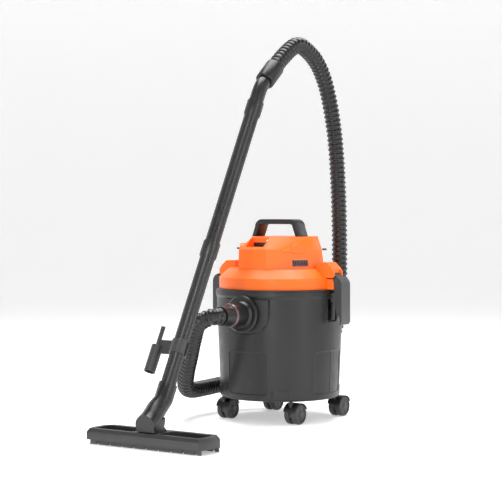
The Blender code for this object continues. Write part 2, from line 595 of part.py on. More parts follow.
def make_handle(lid_body):
    """Flat strap with splayed legs, standing on the cover's top plate."""
    low = COVER_TOP_Z + GAP
    high, t, r = HANDLE_TOP_Z, HANDLE_THICK, HANDLE_ROUND
    outer = [(HANDLE_FOOT_HALF, low)] + arc((HANDLE_TOP_HALF - r, high - r), r, 0, 90, 6)
    inner = [(HANDLE_FOOT_HALF - t, low)] + arc((HANDLE_TOP_HALF - r, high - r), r - t, 0, 90, 6)
    outline = (outer + [(-x, z) for x, z in reversed(outer)]
               + [(-x, z) for x, z in inner] + [(x, z) for x, z in reversed(inner)])
    strap = prism(outline, -HANDLE_DEEP / 2, HANDLE_DEEP / 2, 'Y')
    handle = solid("carry_handle", strap, "black_plastic", lid_body)
    bevel = handle.modifiers.new("soft_edges", 'BEVEL')
    bevel.width = 0.0018
    bevel.segments = 2
    bevel.limit_method = 'ANGLE'
    bevel.angle_limit = radians(50)
    for sx in (-1, 1):
        hole = rod(0.0016, low - 0.01, low + 0.012)
        cut(handle, solid(f"handle_bore_{sx}", hole, None, lid_body, (sx * handle_foot_x(), 0, 0)))
    for side, sx in (("left", -1), ("right", 1)):
        plate = COVER_TOP_Z - COVER_WALL
        profile = [(0, plate - GAP - 0.002), (SCREW_R, plate - GAP - 0.002), (SCREW_R, plate - GAP),
                   (0.0015, plate - GAP), (0.0015, low + 0.010), (0, low + 0.010)]
        solid(f"handle_screw_{side}", turned(profile, 12), "steel", lid_body,
              (sx * handle_foot_x(), 0, 0))


def make_switch(lid_body):
    """Rocker that turns about an upright pin behind the notch's back wall."""
    pivot = empty("switch_pivot", lid_body, (0, NOTCH_BACK_Y + 0.0060, SWITCH_Z), (0, 0, -SWITCH_TILT))
    half = SWITCH_LONG / 2
    outline = [(-half + 0.0012, 0.0), (-half + 0.0012, -0.0062)]
    outline += [(-half * 0.5, -0.0072), (0, -0.0066), (half * 0.5, -0.0072)]
    outline += [(half - 0.0012, -0.0062), (half - 0.0012, 0.0), (0.0, 0.0030)]
    rocker = prism(outline, -SWITCH_HIGH / 2, SWITCH_HIGH / 2)
    solid("switch_rocker", rocker, "black_plastic", pivot)
    low_z, high_z = SWITCH_Z - 0.0042, SWITCH_Z + 0.0042
    case = solid("switch_box", box((-0.021, NOTCH_BACK_Y + COVER_WALL + GAP, low_z - 0.0014),
                                   (0.021, NOTCH_BACK_Y + 0.024, high_z + 0.0014)),
                 "dark_plastic", lid_body, smooth=False)
    room = box((-0.0195, NOTCH_BACK_Y - 0.002, low_z), (0.0195, NOTCH_BACK_Y + 0.012, high_z))
    cut(case, solid("switch_room", room, None, lid_body))


def make_hooks_and_gland(lid_body):
    for side, (x, y, turn, long) in HOOKS.items():
        place = empty(f"hook_{side}_place", lid_body, (x, y, HOOK_Z), (0, 0, turn))
        outline = rounded_rectangle(0.0012, long, -HOOK_DEEP / 2, HOOK_DEEP / 2, 0.004, 3)
        solid(f"cord_hook_{side}", prism(outline, -HOOK_THICK / 2, HOOK_THICK / 2),
              "latch_plastic", place)
    wall_y = 0.0985
    profile = [(0.0035, wall_y - 0.008), (GLAND_R - 0.002, wall_y - 0.008),
               (GLAND_R - 0.002, wall_y + 0.003), (GLAND_R, wall_y + 0.003),
               (GLAND_R - 0.002, wall_y + GLAND_OUT), (0.0035, wall_y + GLAND_OUT)]
    solid("cable_gland", turned(profile, STEPS_PIN), "rubber", lid_body, (0, 0, GLAND_Z), (-90, 0, 0))


def make_latch(body, side, sign):
    """Latch in side view (x, z): knuckle on the pin, deep head, lip under the bead, finger tail."""
    lip_tip = drum_r(BEAD_LOW_Z) + 0.0011
    lip_top = BEAD_LOW_Z + 0.0006
    ramp = BEAD_RAMP / BEAD_OUT
    knuckle = arc((PIN_X, PIN_Z), KNUCKLE_R - 0.0004, 10, 190, 8)
    outline = ([(LATCH_OUT - 0.0035, LATCH_BOTTOM_Z), (LATCH_OUT, LATCH_BOTTOM_Z + 0.006)]
               + arc((LATCH_OUT - LATCH_CREST, PIN_Z - 0.0205), LATCH_CREST, 0, 78, 5)
               + knuckle
               + [(PIN_X - 0.0020, PIN_Z - 0.0070), (PIN_X + 0.0060, PIN_Z - 0.0170),
                  (PIN_X + 0.0070, BEAD_TOP_Z),
                  (lip_tip + 0.0035, lip_top + 0.0035 * ramp - 0.0006),
                  (lip_tip, lip_top - 0.0006), (lip_tip, lip_top - 0.0060),
                  (PIN_X + 0.0075, BEAD_LOW_Z - 0.0160), (PIN_X + 0.0120, LATCH_BOTTOM_Z + 0.0260),
                  (LATCH_OUT - 0.0048, LATCH_BOTTOM_Z + 0.0150),
                  (LATCH_OUT - 0.0045, LATCH_BOTTOM_Z + 0.006), (LATCH_OUT - 0.0070, LATCH_BOTTOM_Z)])
    outline = [(sign * (x - PIN_X), z - PIN_Z) for x, z in outline]
    latch = solid(f"latch_{side}", prism(outline, -LATCH_HALF, LATCH_HALF, 'Y'), "latch_plastic", body)
    for end in (-1, 1):
        clear = rod(KNUCKLE_R + CHEEK_SWEEP, end * (CHEEK_IN - 0.0006), end * 0.03, 20, 'Y')
        cut(latch, solid(f"knuckle_clear_{side}_{end}", clear, None, body))
        trim = box((sign * -0.030, end * 0.0130, BEAD_LOW_Z - PIN_Z - 0.0120),
                   (sign * 0.0025, end * 0.03, BEAD_LOW_Z - PIN_Z + 0.0080))
        cut(latch, solid(f"lip_trim_{side}_{end}", trim, None, body))
    bore = rod(PIN_R + FIT / 4, -0.03, 0.03, STEPS_PIN, 'Y')
    cut(latch, solid(f"latch_bore_{side}", bore, None, body))


def make_latches(lid_body):
    for side, sign in (("right", 1), ("left", -1)):
        place = (sign * PIN_X, 0, PIN_Z)
        pin = rod(PIN_R, -PIN_HALF, PIN_HALF, STEPS_PIN, 'Y')
        solid(f"latch_pin_{side}", pin, "steel", lid_body, place)
        make_latch(empty(f"latch_{side}_pivot", lid_body, place), side, sign)


def make_motor_head(lid_body):
    """Gasket, fan chamber, motor, cage, filter and float under the lid."""
    top = DRUM_TOP_Z + GAP
    seal_r = LID_R - LID_WALL - 0.0004
    profile = [(seal_r - 0.0020, top), (seal_r, top), (seal_r, top + 0.0060), (seal_r - 0.0020, top + 0.0060)]
    solid("lid_gasket", turned(profile, STEPS_BIG), "rubber", lid_body)

    deck = LID_DECK_Z - LID_WALL - GAP
    profile = [
        (CAGE_R + 0.006, CHAMBER_LOW_Z), (CHAMBER_R, CHAMBER_LOW_Z), (CHAMBER_R, deck - 0.004),
        (LID_HOLE_R + 0.012, deck - 0.004), (LID_HOLE_R + 0.012, deck), (CHAMBER_R - 0.0025, deck),
        (CHAMBER_R - 0.0025, CHAMBER_LOW_Z + 0.0025), (0.0200, CHAMBER_LOW_Z + 0.0025),
        (0.0200, CHAMBER_LOW_Z),
    ]
    chamber = solid("fan_chamber", turned(profile, STEPS_MID + 8), "dark_plastic", lid_body)
    for k in range(6):
        port = box((CHAMBER_R - 0.006, -0.007, deck - 0.0165), (CHAMBER_R + 0.003, 0.007, deck - 0.006))
        cut(chamber, solid(f"chamber_port_{k}", port, None, lid_body, turn=(0, 0, 60 * k)))

    plate_low = LID_DECK_Z - LID_WALL - PLATE_T + 0.003
    profile = [(SHAFT_R + 0.002, plate_low), (CHAMBER_R - 0.0025 - GAP * 2, plate_low),
               (CHAMBER_R - 0.0025 - GAP * 2, plate_low + PLATE_T), (SHAFT_R + 0.002, plate_low + PLATE_T)]
    plate = solid("motor_plate", turned(profile, STEPS_MID + 8), "dark_plastic", lid_body)
    for k in range(6):
        hole = rod(0.005, plate_low - 0.01, plate_low + 0.01)
        at = (0.046 * cos((k + 0.3) * pi / 3), 0.046 * sin((k + 0.3) * pi / 3), 0)
        cut(plate, solid(f"plate_hole_{k}", hole, None, lid_body, at))

    profile = [
        (SHAFT_R + FIT, MOTOR_LOW_Z), (MOTOR_R - 0.004, MOTOR_LOW_Z), (MOTOR_R, MOTOR_LOW_Z + 0.004),
        (MOTOR_R, MOTOR_HIGH_Z - 0.012), (MOTOR_R - 0.008, MOTOR_HIGH_Z - 0.010),
        (MOTOR_R - 0.008, MOTOR_HIGH_Z), (SHAFT_R + FIT, MOTOR_HIGH_Z),
    ]
    solid("motor", turned(profile, STEPS_MID), "steel", lid_body)

    rotor = empty("rotor_axis", lid_body)
    solid("motor_shaft", rod(SHAFT_R, SHAFT_LOW_Z, SHAFT_HIGH_Z), "steel", rotor)
    profile = [(SHAFT_R + GAP, FAN_LOW_Z), (0.012, FAN_LOW_Z), (0.012, FAN_HIGH_Z - 0.0015),
               (FAN_R, FAN_HIGH_Z - 0.0015), (FAN_R, FAN_HIGH_Z), (SHAFT_R + GAP, FAN_HIGH_Z)]
    fan = solid("fan_wheel", turned(profile, STEPS_MID), "white_plastic", rotor)
    for k in range(FAN_BLADES):
        spine = [(0.011 + 0.036 * s, 0.016 * s * s) for s in (0, 0.25, 0.5, 0.75, 1)]
        outline = spine + [(x, y + 0.0014) for x, y in reversed(spine)]
        blade = prism(outline, FAN_LOW_Z, FAN_HIGH_Z - 0.0010)
        join(fan, solid(f"fan_blade_{k}", blade, "white_plastic", rotor, turn=(0, 0, 360 * k / FAN_BLADES)))

    cage_top = CHAMBER_LOW_Z - GAP
    profile = [
        (CAGE_R - CAGE_WALL, CAGE_LOW_Z + CAGE_WALL), (0.0, CAGE_LOW_Z + CAGE_WALL), (0.0, CAGE_LOW_Z),
        (CAGE_R, CAGE_LOW_Z), (CAGE_R, cage_top - 0.003), (CHAMBER_R, cage_top - 0.003),
        (CHAMBER_R, cage_top), (CAGE_R - CAGE_WALL, cage_top),
    ]
    cage = solid("filter_cage", turned(profile, STEPS_MID), "dark_plastic", lid_body)
    for k in range(4):
        window = box((0.01, -0.012, CAGE_LOW_Z + 0.010), (CAGE_R + 0.01, 0.012, cage_top - 0.022))
        cut(cage, solid(f"cage_window_{k}", window, None, lid_body, turn=(0, 0, 90 * k)))
    drain = rod(0.012, CAGE_LOW_Z - 0.01, CAGE_LOW_Z + 0.01, 20)
    cut(cage, solid("cage_drain", drain, None, lid_body))

    sleeve_in = CAGE_R + GAP
    profile = [(sleeve_in, CAGE_LOW_Z + 0.004), (sleeve_in + FILTER_T, CAGE_LOW_Z + 0.006),
               (sleeve_in + FILTER_T, cage_top - 0.010), (sleeve_in, cage_top - 0.008)]
    solid("filter_sleeve", turned(profile, STEPS_MID), "filter_cloth", lid_body)

    rest_z = CAGE_LOW_Z + CAGE_WALL + GAP + FLOAT_R
    ball = bmesh.new()
    bmesh.ops.create_uvsphere(ball, u_segments=16, v_segments=10, radius=FLOAT_R)
    solid("float_ball", ball, "white_plastic", empty("float_place", lid_body, (0, 0, rest_z)))


# ---------------------------------------------------------------- casters
def make_caster(machine, name, sx, sy):
    """Hood and stem turn about the stem; the wheels trail behind it on one axle along X."""
    swivel = empty(f"caster_{name}_axis", machine, (sx * CASTER_HALF, sy * CASTER_HALF, 0))
    axle_place = (0, CASTER_TRAIL, WHEEL_R)
    web_half = WHEEL_GAP / 2 - 0.0004
    hood_r = CASTER_TOP_Z - GAP - WHEEL_R - 0.0004
    wide = WHEEL_GAP / 2 + WHEEL_W + 0.0004
    fender = arc((0, 0), hood_r, 25, 165, 7) + arc((0, 0), hood_r - HOOD_T, 165, 25, 7)
    hood = solid(f"caster_hood_{name}", prism(fender, -wide, wide, 'X'), "black_plastic", swivel,
                 axle_place)
    web = prism(arc((0, 0), WHEEL_R - 0.002, -20, 200, 10), -web_half, web_half, 'X')
    join(hood, solid(f"caster_web_{name}", web, "black_plastic", swivel, axle_place))
    crown = prism(arc((0, 0), hood_r - 0.0005, 60, 120, 4) + [(-0.006, 0.010), (0.006, 0.010)],
                  -web_half, web_half, 'X')
    join(hood, solid(f"caster_crown_{name}", crown, "black_plastic", swivel, axle_place))
    hub = rod(0.0064, WHEEL_R + sqrt(hood_r ** 2 - (CASTER_TRAIL - 0.0064) ** 2), CASTER_TOP_Z - 0.0012)
    join(hood, solid(f"caster_boss_{name}", hub, "black_plastic", swivel))
    neck = box((-web_half, -0.002, WHEEL_R - 0.004), (web_half, CASTER_TRAIL, CASTER_TOP_Z - 0.002))
    join(hood, solid(f"caster_neck_{name}", neck, "black_plastic", swivel))
    stem = rod(STEM_R, CASTER_TOP_Z - 0.004, DRUM_BOTTOM_Z + STEM_LONG)
    join(hood, solid(f"caster_stem_{name}", stem, "steel", swivel))
    bore = rod(0.0022, -0.03, 0.03, STEPS_PIN, 'X')
    cut(hood, solid(f"hood_bore_{name}", bore, None, swivel, axle_place))

    roll = empty(f"caster_{name}_axle", swivel, axle_place)
    axle_half = WHEEL_GAP / 2 + WHEEL_W - 0.002
    solid(f"caster_axle_{name}", rod(0.0020, -axle_half, axle_half, STEPS_PIN, 'X'), "steel", roll)
    for side, sign in (("left", -1), ("right", 1)):
        near = WHEEL_GAP / 2
        far = near + WHEEL_W
        profile = [
            (0.0020 + GAP / 3, near), (WHEEL_R, near), (WHEEL_R, far - 0.003),
            (WHEEL_R - 0.0025, far), (0.0, far), (0.0, far - 0.0017), (0.0020 + GAP / 3, far - 0.0017),
        ]
        solid(f"caster_wheel_{name}_{side}", turned(profile, STEPS_MID), "dark_plastic", roll,
              turn=(0, 90 * sign, 0))


def make_casters(machine):
    for name, (sx, sy) in caster_places().items():
        make_caster(machine, name, sx, sy)


# ---------------------------------------------------------------- wand
def tube_profile(low, high, bell):
    """A straight tube with, if asked, a bell at its upper end; the bell holds the next tube."""
    inner, bell_in = TUBE_R - TUBE_WALL, TUBE_R + FIT
    if not bell:
        return [(inner, low), (TUBE_R, low), (TUBE_R, high), (inner, high)]
    seat = high - BELL_LONG
    return [(inner, low), (TUBE_R, low), (TUBE_R, seat - 0.006), (BELL_R, seat), (BELL_R, high),
            (bell_in, high), (bell_in, seat + 0.002), (inner, seat + 0.002)]


def bent_path(start, tail_extra=0.0):
    """(y, z) points of the bent tube's centre line in the wand's own frame."""
    straight = start + BEND_START
    points = [(0.0, start), (0.0, straight)]
    steps = 4
    for k in range(1, steps + 1):
        angle = radians(BEND_ANGLE * k / steps)
        points.append((BEND_R * (1 - cos(angle)), straight + BEND_R * sin(angle)))
    angle = radians(BEND_ANGLE)
    y, z = points[-1]
    points.append((y + (BEND_TAIL + tail_extra) * sin(angle), z + (BEND_TAIL + tail_extra) * cos(angle)))
    return points


def make_wand(machine):
    wand = empty("wand_axis", machine, (WAND_X, WAND_Y, WAND_Z), (-WAND_LEAN, 0, 0))
    joint = TUBE_LONG[0]
    end = joint + TUBE_LONG[1]
    inserted = BELL_LONG - 0.0025
    solid("wand_tube_lower", turned(tube_profile(-NECK_LONG + 0.004, joint, True), STEPS_MID),
          "tube_plastic", wand)
    solid("wand_tube_upper", turned(tube_profile(joint - inserted, end, True), STEPS_MID),
          "tube_plastic", wand)
    line = [(0.0, end - inserted)] + bent_path(end)
    outer = [(0, y, z) for y, z in line]
    bent = solid("wand_bend", pipe(outer, TUBE_R), "tube_plastic", wand)
    first, last = Vector(outer[0]), Vector(outer[-1])
    reach = (last - Vector(outer[-2])).normalized() * 0.01
    bore = [first - Vector((0, 0, 0.01))] + outer[1:-1] + [last + reach]
    cut(bent, solid("wand_bend_bore", pipe(bore, TUBE_R - TUBE_WALL), None, wand))
    return wand, end


def wand_cuff_frame(wand, end):
    """Empty at the bent tube's far end, local +Z along its centre line."""
    y, z = bent_path(end)[-1]
    return empty("wand_cuff_axis", wand, (0, y, z), (-BEND_ANGLE, 0, 0))


def cuff_point(end, along):
    """Machine-frame point at a distance past the bent tube's end, on the cuff's axis."""
    y, z = bent_path(end)[-1]
    y += along * sin(radians(BEND_ANGLE))
    z += along * cos(radians(BEND_ANGLE))
    lean = radians(WAND_LEAN)
    return (WAND_X, WAND_Y + y * cos(lean) + z * sin(lean), WAND_Z - y * sin(lean) + z * cos(lean))


def make_wand_cuff(wand, end):
    frame = wand_cuff_frame(wand, end)
    grip = TUBE_R + FIT
    low, high = -CUFF_OVERLAP, CUFF_LONG - CUFF_OVERLAP
    profile = [
        (grip, low), (CUFF_R - 0.001, low), (CUFF_R, low + 0.002), (CUFF_R, high - 0.003),
        (CUFF_R - 0.002, high), (TUBE_R - 0.002, high), (TUBE_R - 0.002, 0.002), (grip, 0.002),
    ]
    solid("wand_hose_cuff", turned(profile, STEPS_MID), "black_plastic", frame)


def make_holder(wand):
    """Snap-on clip with a post that carries an accessory tube socket and a peg."""
    frame = empty("holder_axis", wand, (0, 0, HOLDER_ALONG), (0, 0, HOLDER_YAW))
    high = HOLDER_HIGH
    inner, outer = TUBE_R + FIT, TUBE_R + 0.0030
    ring = arc((0, 0), outer, 60, 390, 18) + arc((0, 0), inner, 390, 60, 18)
    turned_ring = [(x * cos(radians(-45)) - y * sin(radians(-45)),
                    x * sin(radians(-45)) + y * cos(radians(-45))) for x, y in ring]
    clip = solid("accessory_holder", prism(turned_ring, 0, high), "dark_plastic", frame)
    web = box((-HOLDER_OUT, -0.0020, 0.0), (-outer + 0.0015, 0.0020, high))
    join(clip, solid("holder_web", web, "dark_plastic", frame))
    post = rod(POST_R, -POST_LONG, high * 0.55, 20)
    join(clip, solid("holder_post", post, "dark_plastic", frame, (-HOLDER_OUT, 0, 0)))
    peg = rod(PEG_R, 0.0, high + PEG_LONG)
    join(clip, solid("holder_peg", peg, "dark_plastic", frame, (-HOLDER_OUT, 0, 0)))
    bore = rod(POST_BORE_R, -POST_LONG - 0.01, -0.004, 20)
    cut(clip, solid("holder_bore", bore, None, frame, (-HOLDER_OUT, 0, 0)))


# ---------------------------------------------------------------- nozzle
def ellipse_ring(centre, tangent, half_x, half_n, count=24):
    """Ring in the plane across a tangent that lies in the YZ plane."""
    t = Vector((0, tangent[0], tangent[1])).normalized()
    normal = Vector((1, 0, 0)).cross(t)
    return [Vector((0, *centre)) + Vector((half_x * cos(2 * pi * k / count), 0, 0))
            + normal * (half_n * sin(2 * pi * k / count)) for k in range(count)]


def neck_points():
    """Centre line of the neck from its socket mouth to its arched front, (y, z)."""
    lean = radians(WAND_LEAN)

    def on_axis(s):
        return (WAND_Y + s * sin(lean), WAND_Z + s * cos(lean))
    return on_axis(0.0), on_axis(-0.034)


def make_neck(machine):
    mouth, knee = neck_points()
    lean = radians(WAND_LEAN)
    down = (sin(lean), cos(lean))
    front = (-0.5585, 0.0480)
    forward = (0.74, 0.67)
    sections = [
        ellipse_ring(mouth, down, NECK_R, NECK_R),
        ellipse_ring(knee, (0.52, 0.85), NECK_R, NECK_R),
        ellipse_ring((-0.5180, 0.0790), forward, NECK_R + 0.0015, NECK_R + 0.001),
        ellipse_ring((-0.5390, 0.0590), (0.90, 0.44), NECK_R + 0.0035, NECK_R + 0.001),
        ellipse_ring(front, (1.0, 0.10), NECK_R + 0.0045, NECK_R + 0.0015),
    ]
    neck = solid("nozzle_neck", loft(sections), "tube_plastic", machine, (NOZZLE_X, 0, 0))
    skirt = [(-0.5575, NOZZLE_HIGH_Z + 0.0015), (-0.5575, 0.0480), (-0.5200, 0.0620),
             (PIVOT_Y + 0.0100, PIVOT_Z + 0.0215), (PIVOT_Y + 0.0075, PIVOT_Z + 0.0140),
             (PIVOT_Y, NOZZLE_HIGH_Z + 0.0015)]
    saddle = prism(skirt, -PIVOT_HALF, PIVOT_HALF, 'X')
    join(neck, solid("neck_saddle", saddle, "tube_plastic", machine, (NOZZLE_X, 0, 0)))
    barrel = rod(PIVOT_R, -PIVOT_HALF, PIVOT_HALF, STEPS_MID, 'X')
    join(neck, solid("neck_barrel", barrel, "tube_plastic", machine, (NOZZLE_X, PIVOT_Y, PIVOT_Z)))
    under = box((-0.06, -0.60, -0.01), (0.06, PIVOT_Y - PIVOT_R + 0.0002, NOZZLE_HIGH_Z + 0.0012))
    cut(neck, solid("neck_underside", under, None, machine, (NOZZLE_X, 0, 0)))
    socket = rod(TUBE_R + FIT, -NECK_LONG + 0.002, 0.02, STEPS_MID)
    socket_frame = empty("neck_socket_axis", machine, (WAND_X, WAND_Y, WAND_Z), (-WAND_LEAN, 0, 0))
    cut(neck, solid("neck_socket", socket, None, socket_frame))
    line = [(0, *knee), (0, -0.5085, 0.0760), (0, -0.5210, 0.0620), (0, -0.5290, 0.0450),
            (0, PIVOT_Y, PIVOT_Z), (0, PIVOT_Y, 0.0)]
    cut(neck, solid("neck_duct", pipe(line, 0.0115, 20), None, machine, (NOZZLE_X, 0, 0)))
    return neck


def nozzle_outline(margin):
    """Plan view with chamfered ends."""
    x0, x1 = -NOZZLE_LONG / 2 + margin, NOZZLE_LONG / 2 - margin
    y0, y1 = NOZZLE_FRONT + margin, NOZZLE_FRONT + NOZZLE_DEEP - margin
    c = NOZZLE_CORNER
    return [(x0 + c * 0.35, y0), (x1 - c * 0.35, y0), (x1, y0 + c), (x1, y1 - c), (x1 - c * 0.8, y1),
            (x0 + c * 0.8, y1), (x0, y1 - c), (x0, y0 + c)]


def make_nozzle(machine):
    tilt = empty("nozzle_axis", machine, (NOZZLE_X, PIVOT_Y, PIVOT_Z))

    def shifted(bm):
        bmesh.ops.translate(bm, verts=bm.verts, vec=(0, -PIVOT_Y, -PIVOT_Z))
        return bm

    def tool(name, bm):
        return solid(name, shifted(bm), None, tilt)

    body = hip([(nozzle_outline(0.0), NOZZLE_LOW_Z), (nozzle_outline(0.0), NOZZLE_HIGH_Z - 0.007),
                (nozzle_outline(0.0045), NOZZLE_HIGH_Z)])
    nozzle = solid("nozzle_body", shifted(body), "dark_plastic", tilt, smooth=False)
    chamber = hip([(nozzle_outline(0.0030), NOZZLE_LOW_Z - 0.01),
                   (nozzle_outline(0.0030), NOZZLE_LOW_Z + 0.0060)])
    cut(nozzle, tool("nozzle_chamber", chamber))
    for side, sign in (("left", -1), ("right", 1)):
        x0, x1 = sorted((sign * (PIVOT_HALF + 0.010), sign * (NOZZLE_LONG / 2 - 0.016)))
        recess = prism(rounded_rectangle(x0, x1, NOZZLE_FRONT + 0.014, NOZZLE_FRONT + 0.062, 0.006, 2),
                       NOZZLE_HIGH_Z - 0.0100, NOZZLE_HIGH_Z + 0.01)
        cut(nozzle, tool(f"nozzle_recess_{side}", recess))
    cradle = rod(PIVOT_R + 0.0006, -PIVOT_HALF - 0.0006, PIVOT_HALF + 0.0006, STEPS_MID, 'X')
    cut(nozzle, solid("nozzle_cradle", cradle, None, tilt))
    well = box((-PIVOT_HALF - 0.0006, PIVOT_Y - PIVOT_R - 0.0006, PIVOT_Z),
               (PIVOT_HALF + 0.0006, PIVOT_Y + PIVOT_R + 0.0006, PIVOT_Z + 0.02))
    cut(nozzle, tool("nozzle_well", well))

    sole = hip([(nozzle_outline(0.0033), NOZZLE_LOW_Z - SOLE_T), (nozzle_outline(0.0033), NOZZLE_LOW_Z)])
    bmesh.ops.translate(sole, verts=sole.verts, vec=(0, 0, 0.0029))
    plate = solid("nozzle_sole", shifted(sole), "dark_plastic", tilt, smooth=False)
    mouth_y = PIVOT_Y - MOUTH_DEEP / 2
    mouth = box((-MOUTH_LONG / 2, mouth_y, -0.01), (MOUTH_LONG / 2, mouth_y + MOUTH_DEEP, 0.02))
    cut(plate, tool("sole_mouth", mouth))
    for side, y in (("front", NOZZLE_FRONT + 0.0085), ("rear", NOZZLE_FRONT + NOZZLE_DEEP - 0.0125)):
        strip = box((-STRIP_LONG / 2, y, 0.0), (STRIP_LONG / 2, y + STRIP_T, NOZZLE_LOW_Z - SOLE_T + 0.0026))
        made = solid(f"nozzle_strip_{side}", shifted(strip), "rubber", tilt, smooth=False)
        for k in range(STRIP_NOTCHES):
            x = -STRIP_LONG / 2 + STRIP_LONG * (k + 0.5) / STRIP_NOTCHES
            notch = box((x - STRIP_NOTCH_R / 2, y - 0.01, -0.01), (x + STRIP_NOTCH_R / 2, y + 0.02, 0.0045))
            cut(made, tool(f"strip_notch_{side}_{k}", notch))


# ---------------------------------------------------------------- hose
def make_hose(machine, end):
    """The first and last short stretch are straight, so the hose meets both cuffs squarely."""
    start = CUFF_LONG - CUFF_OVERLAP + GAP
    inlet = -HOSE_CUFF_FRONT_Y - GAP
    route = [cuff_point(end, start + HOSE_STUB), cuff_point(end, start + 2 * HOSE_STUB)]
    route += HOSE_ROUTE
    route += [(-0.0040, inlet - 2.2 * HOSE_STUB, INLET_Z), (0.0, inlet - HOSE_STUB, INLET_Z)]
    points = [cuff_point(end, start)] + smooth_path(route, HOSE_POINTS) + [(0.0, inlet, INLET_Z)]
    tube_curve("hose", points, HOSE_R, "hose_plastic", machine, 3)


def build():
    clear_scene()
    machine = empty("machine", None, (MACHINE_X, MACHINE_Y, 0))
    make_drum(machine)
    make_inlet(machine)
    lid_body = empty("lid_body", machine)
    make_lid(lid_body)
    make_cover(lid_body)
    make_vents(lid_body)
    make_handle(lid_body)
    make_switch(lid_body)
    make_hooks_and_gland(lid_body)
    make_latches(lid_body)
    make_motor_head(lid_body)
    make_casters(machine)
    wand, end = make_wand(machine)
    make_wand_cuff(wand, end)
    make_holder(wand)
    make_neck(machine)
    make_nozzle(machine)
    make_hose(machine, end)


build()
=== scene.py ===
"""Looks of the shop vacuum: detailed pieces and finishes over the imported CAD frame."""
import bmesh
import bpy
import json
import numpy as np
from math import cos, pi, radians, sin
from mathutils import Matrix, Vector


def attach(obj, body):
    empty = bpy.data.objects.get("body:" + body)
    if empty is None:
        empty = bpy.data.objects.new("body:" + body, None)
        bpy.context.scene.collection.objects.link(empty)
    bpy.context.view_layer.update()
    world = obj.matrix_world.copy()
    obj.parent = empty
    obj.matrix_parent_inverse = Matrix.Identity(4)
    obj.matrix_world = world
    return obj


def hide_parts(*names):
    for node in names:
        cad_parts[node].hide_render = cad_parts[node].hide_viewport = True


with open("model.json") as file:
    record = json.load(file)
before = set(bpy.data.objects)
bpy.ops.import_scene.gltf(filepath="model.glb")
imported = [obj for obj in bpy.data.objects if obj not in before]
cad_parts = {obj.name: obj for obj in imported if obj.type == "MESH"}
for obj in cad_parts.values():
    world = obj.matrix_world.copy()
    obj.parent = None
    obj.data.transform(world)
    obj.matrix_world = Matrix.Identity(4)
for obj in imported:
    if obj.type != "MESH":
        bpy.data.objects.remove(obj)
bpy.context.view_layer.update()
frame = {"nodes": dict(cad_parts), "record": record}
NODES = frame["nodes"]
AXIS = Vector((-0.011, 0.21108, 0.0))    # foot of the drum's upright axis


# ---------------------------------------------------------------- camera
CAMERA_AZIMUTH, CAMERA_AWAY, CAMERA_HIGH = 34.0, 3.70, 0.490
CAMERA_YAW, CAMERA_PITCH, CAMERA_LENS, SENSOR = 1.03, 1.655, 115.16, 36.0


def make_camera():
    camera = bpy.data.objects.new("camera", bpy.data.cameras.new("camera"))
    bpy.context.scene.collection.objects.link(camera)
    bpy.context.scene.camera = camera
    camera.data.lens = CAMERA_LENS
    camera.data.sensor_width = SENSOR
    a = radians(CAMERA_AZIMUTH)
    camera.location = AXIS + Vector((CAMERA_AWAY * sin(a), -CAMERA_AWAY * cos(a), CAMERA_HIGH))
    camera.rotation_euler = (radians(90 - CAMERA_PITCH), 0.0, radians(CAMERA_AZIMUTH + CAMERA_YAW))


make_camera()


# ---------------------------------------------------------------- mesh helpers
CURVE_STEPS = 24                         # points on each span of a smoothed route
ROUND_SEGMENTS, ROUND_ANGLE = 3, 35.0    # bevels of our own pieces
ON_AXIS = 1e-7                           # a smaller radius is a point on the axis


def smooth_path(route, count):
    """Evenly spaced points on a centripetal Catmull-Rom curve through the route."""
    knots = [Vector(p) for p in route]
    knots = [2 * knots[0] - knots[1]] + knots + [2 * knots[-1] - knots[-2]]
    fine = []
    for p0, p1, p2, p3 in zip(knots, knots[1:], knots[2:], knots[3:]):
        t1 = (p1 - p0).length ** 0.5
        t2 = t1 + (p2 - p1).length ** 0.5
        t3 = t2 + (p3 - p2).length ** 0.5
        for k in range(CURVE_STEPS):
            t = t1 + (t2 - t1) * k / CURVE_STEPS
            a1 = p0 * (t1 - t) / t1 + p1 * t / t1
            a2 = p1 * (t2 - t) / (t2 - t1) + p2 * (t - t1) / (t2 - t1)
            a3 = p2 * (t3 - t) / (t3 - t2) + p3 * (t - t2) / (t3 - t2)
            b1 = a1 * (t2 - t) / t2 + a2 * t / t2
            b2 = a2 * (t3 - t) / (t3 - t1) + a3 * (t - t1) / (t3 - t1)
            fine.append(b1 * (t2 - t) / (t2 - t1) + b2 * (t - t1) / (t2 - t1))
    fine.append(knots[-2])
    return even_points(fine, count)


def even_points(fine, count):
    """The same line as evenly spaced points."""
    reach = [0.0]
    for a, b in zip(fine, fine[1:]):
        reach.append(reach[-1] + (b - a).length)
    even, k = [], 0
    for n in range(count):
        goal = reach[-1] * n / (count - 1)
        while k < len(fine) - 2 and reach[k + 1] < goal:
            k += 1
        share = (goal - reach[k]) / (reach[k + 1] - reach[k])
        even.append(fine[k].lerp(fine[k + 1], share))
    return even


def path_length(points):
    return sum((b - a).length for a, b in zip(points, points[1:]))


def new_piece(name, bm, material, body, place=None, angle=40.0):
    """A finished mesh in world metres that rides on a CAD body."""
    bmesh.ops.recalc_face_normals(bm, faces=bm.faces)
    mesh = bpy.data.meshes.new(name)
    bm.to_mesh(mesh)
    bm.free()
    if place is not None:
        mesh.transform(place)
    made = bpy.data.objects.new(name, mesh)
    bpy.context.scene.collection.objects.link(made)
    mesh.shade_smooth()
    mesh.set_sharp_from_angle(angle=radians(angle))
    mesh.materials.append(material)
    if body is not None:
        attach(made, body)
    return made


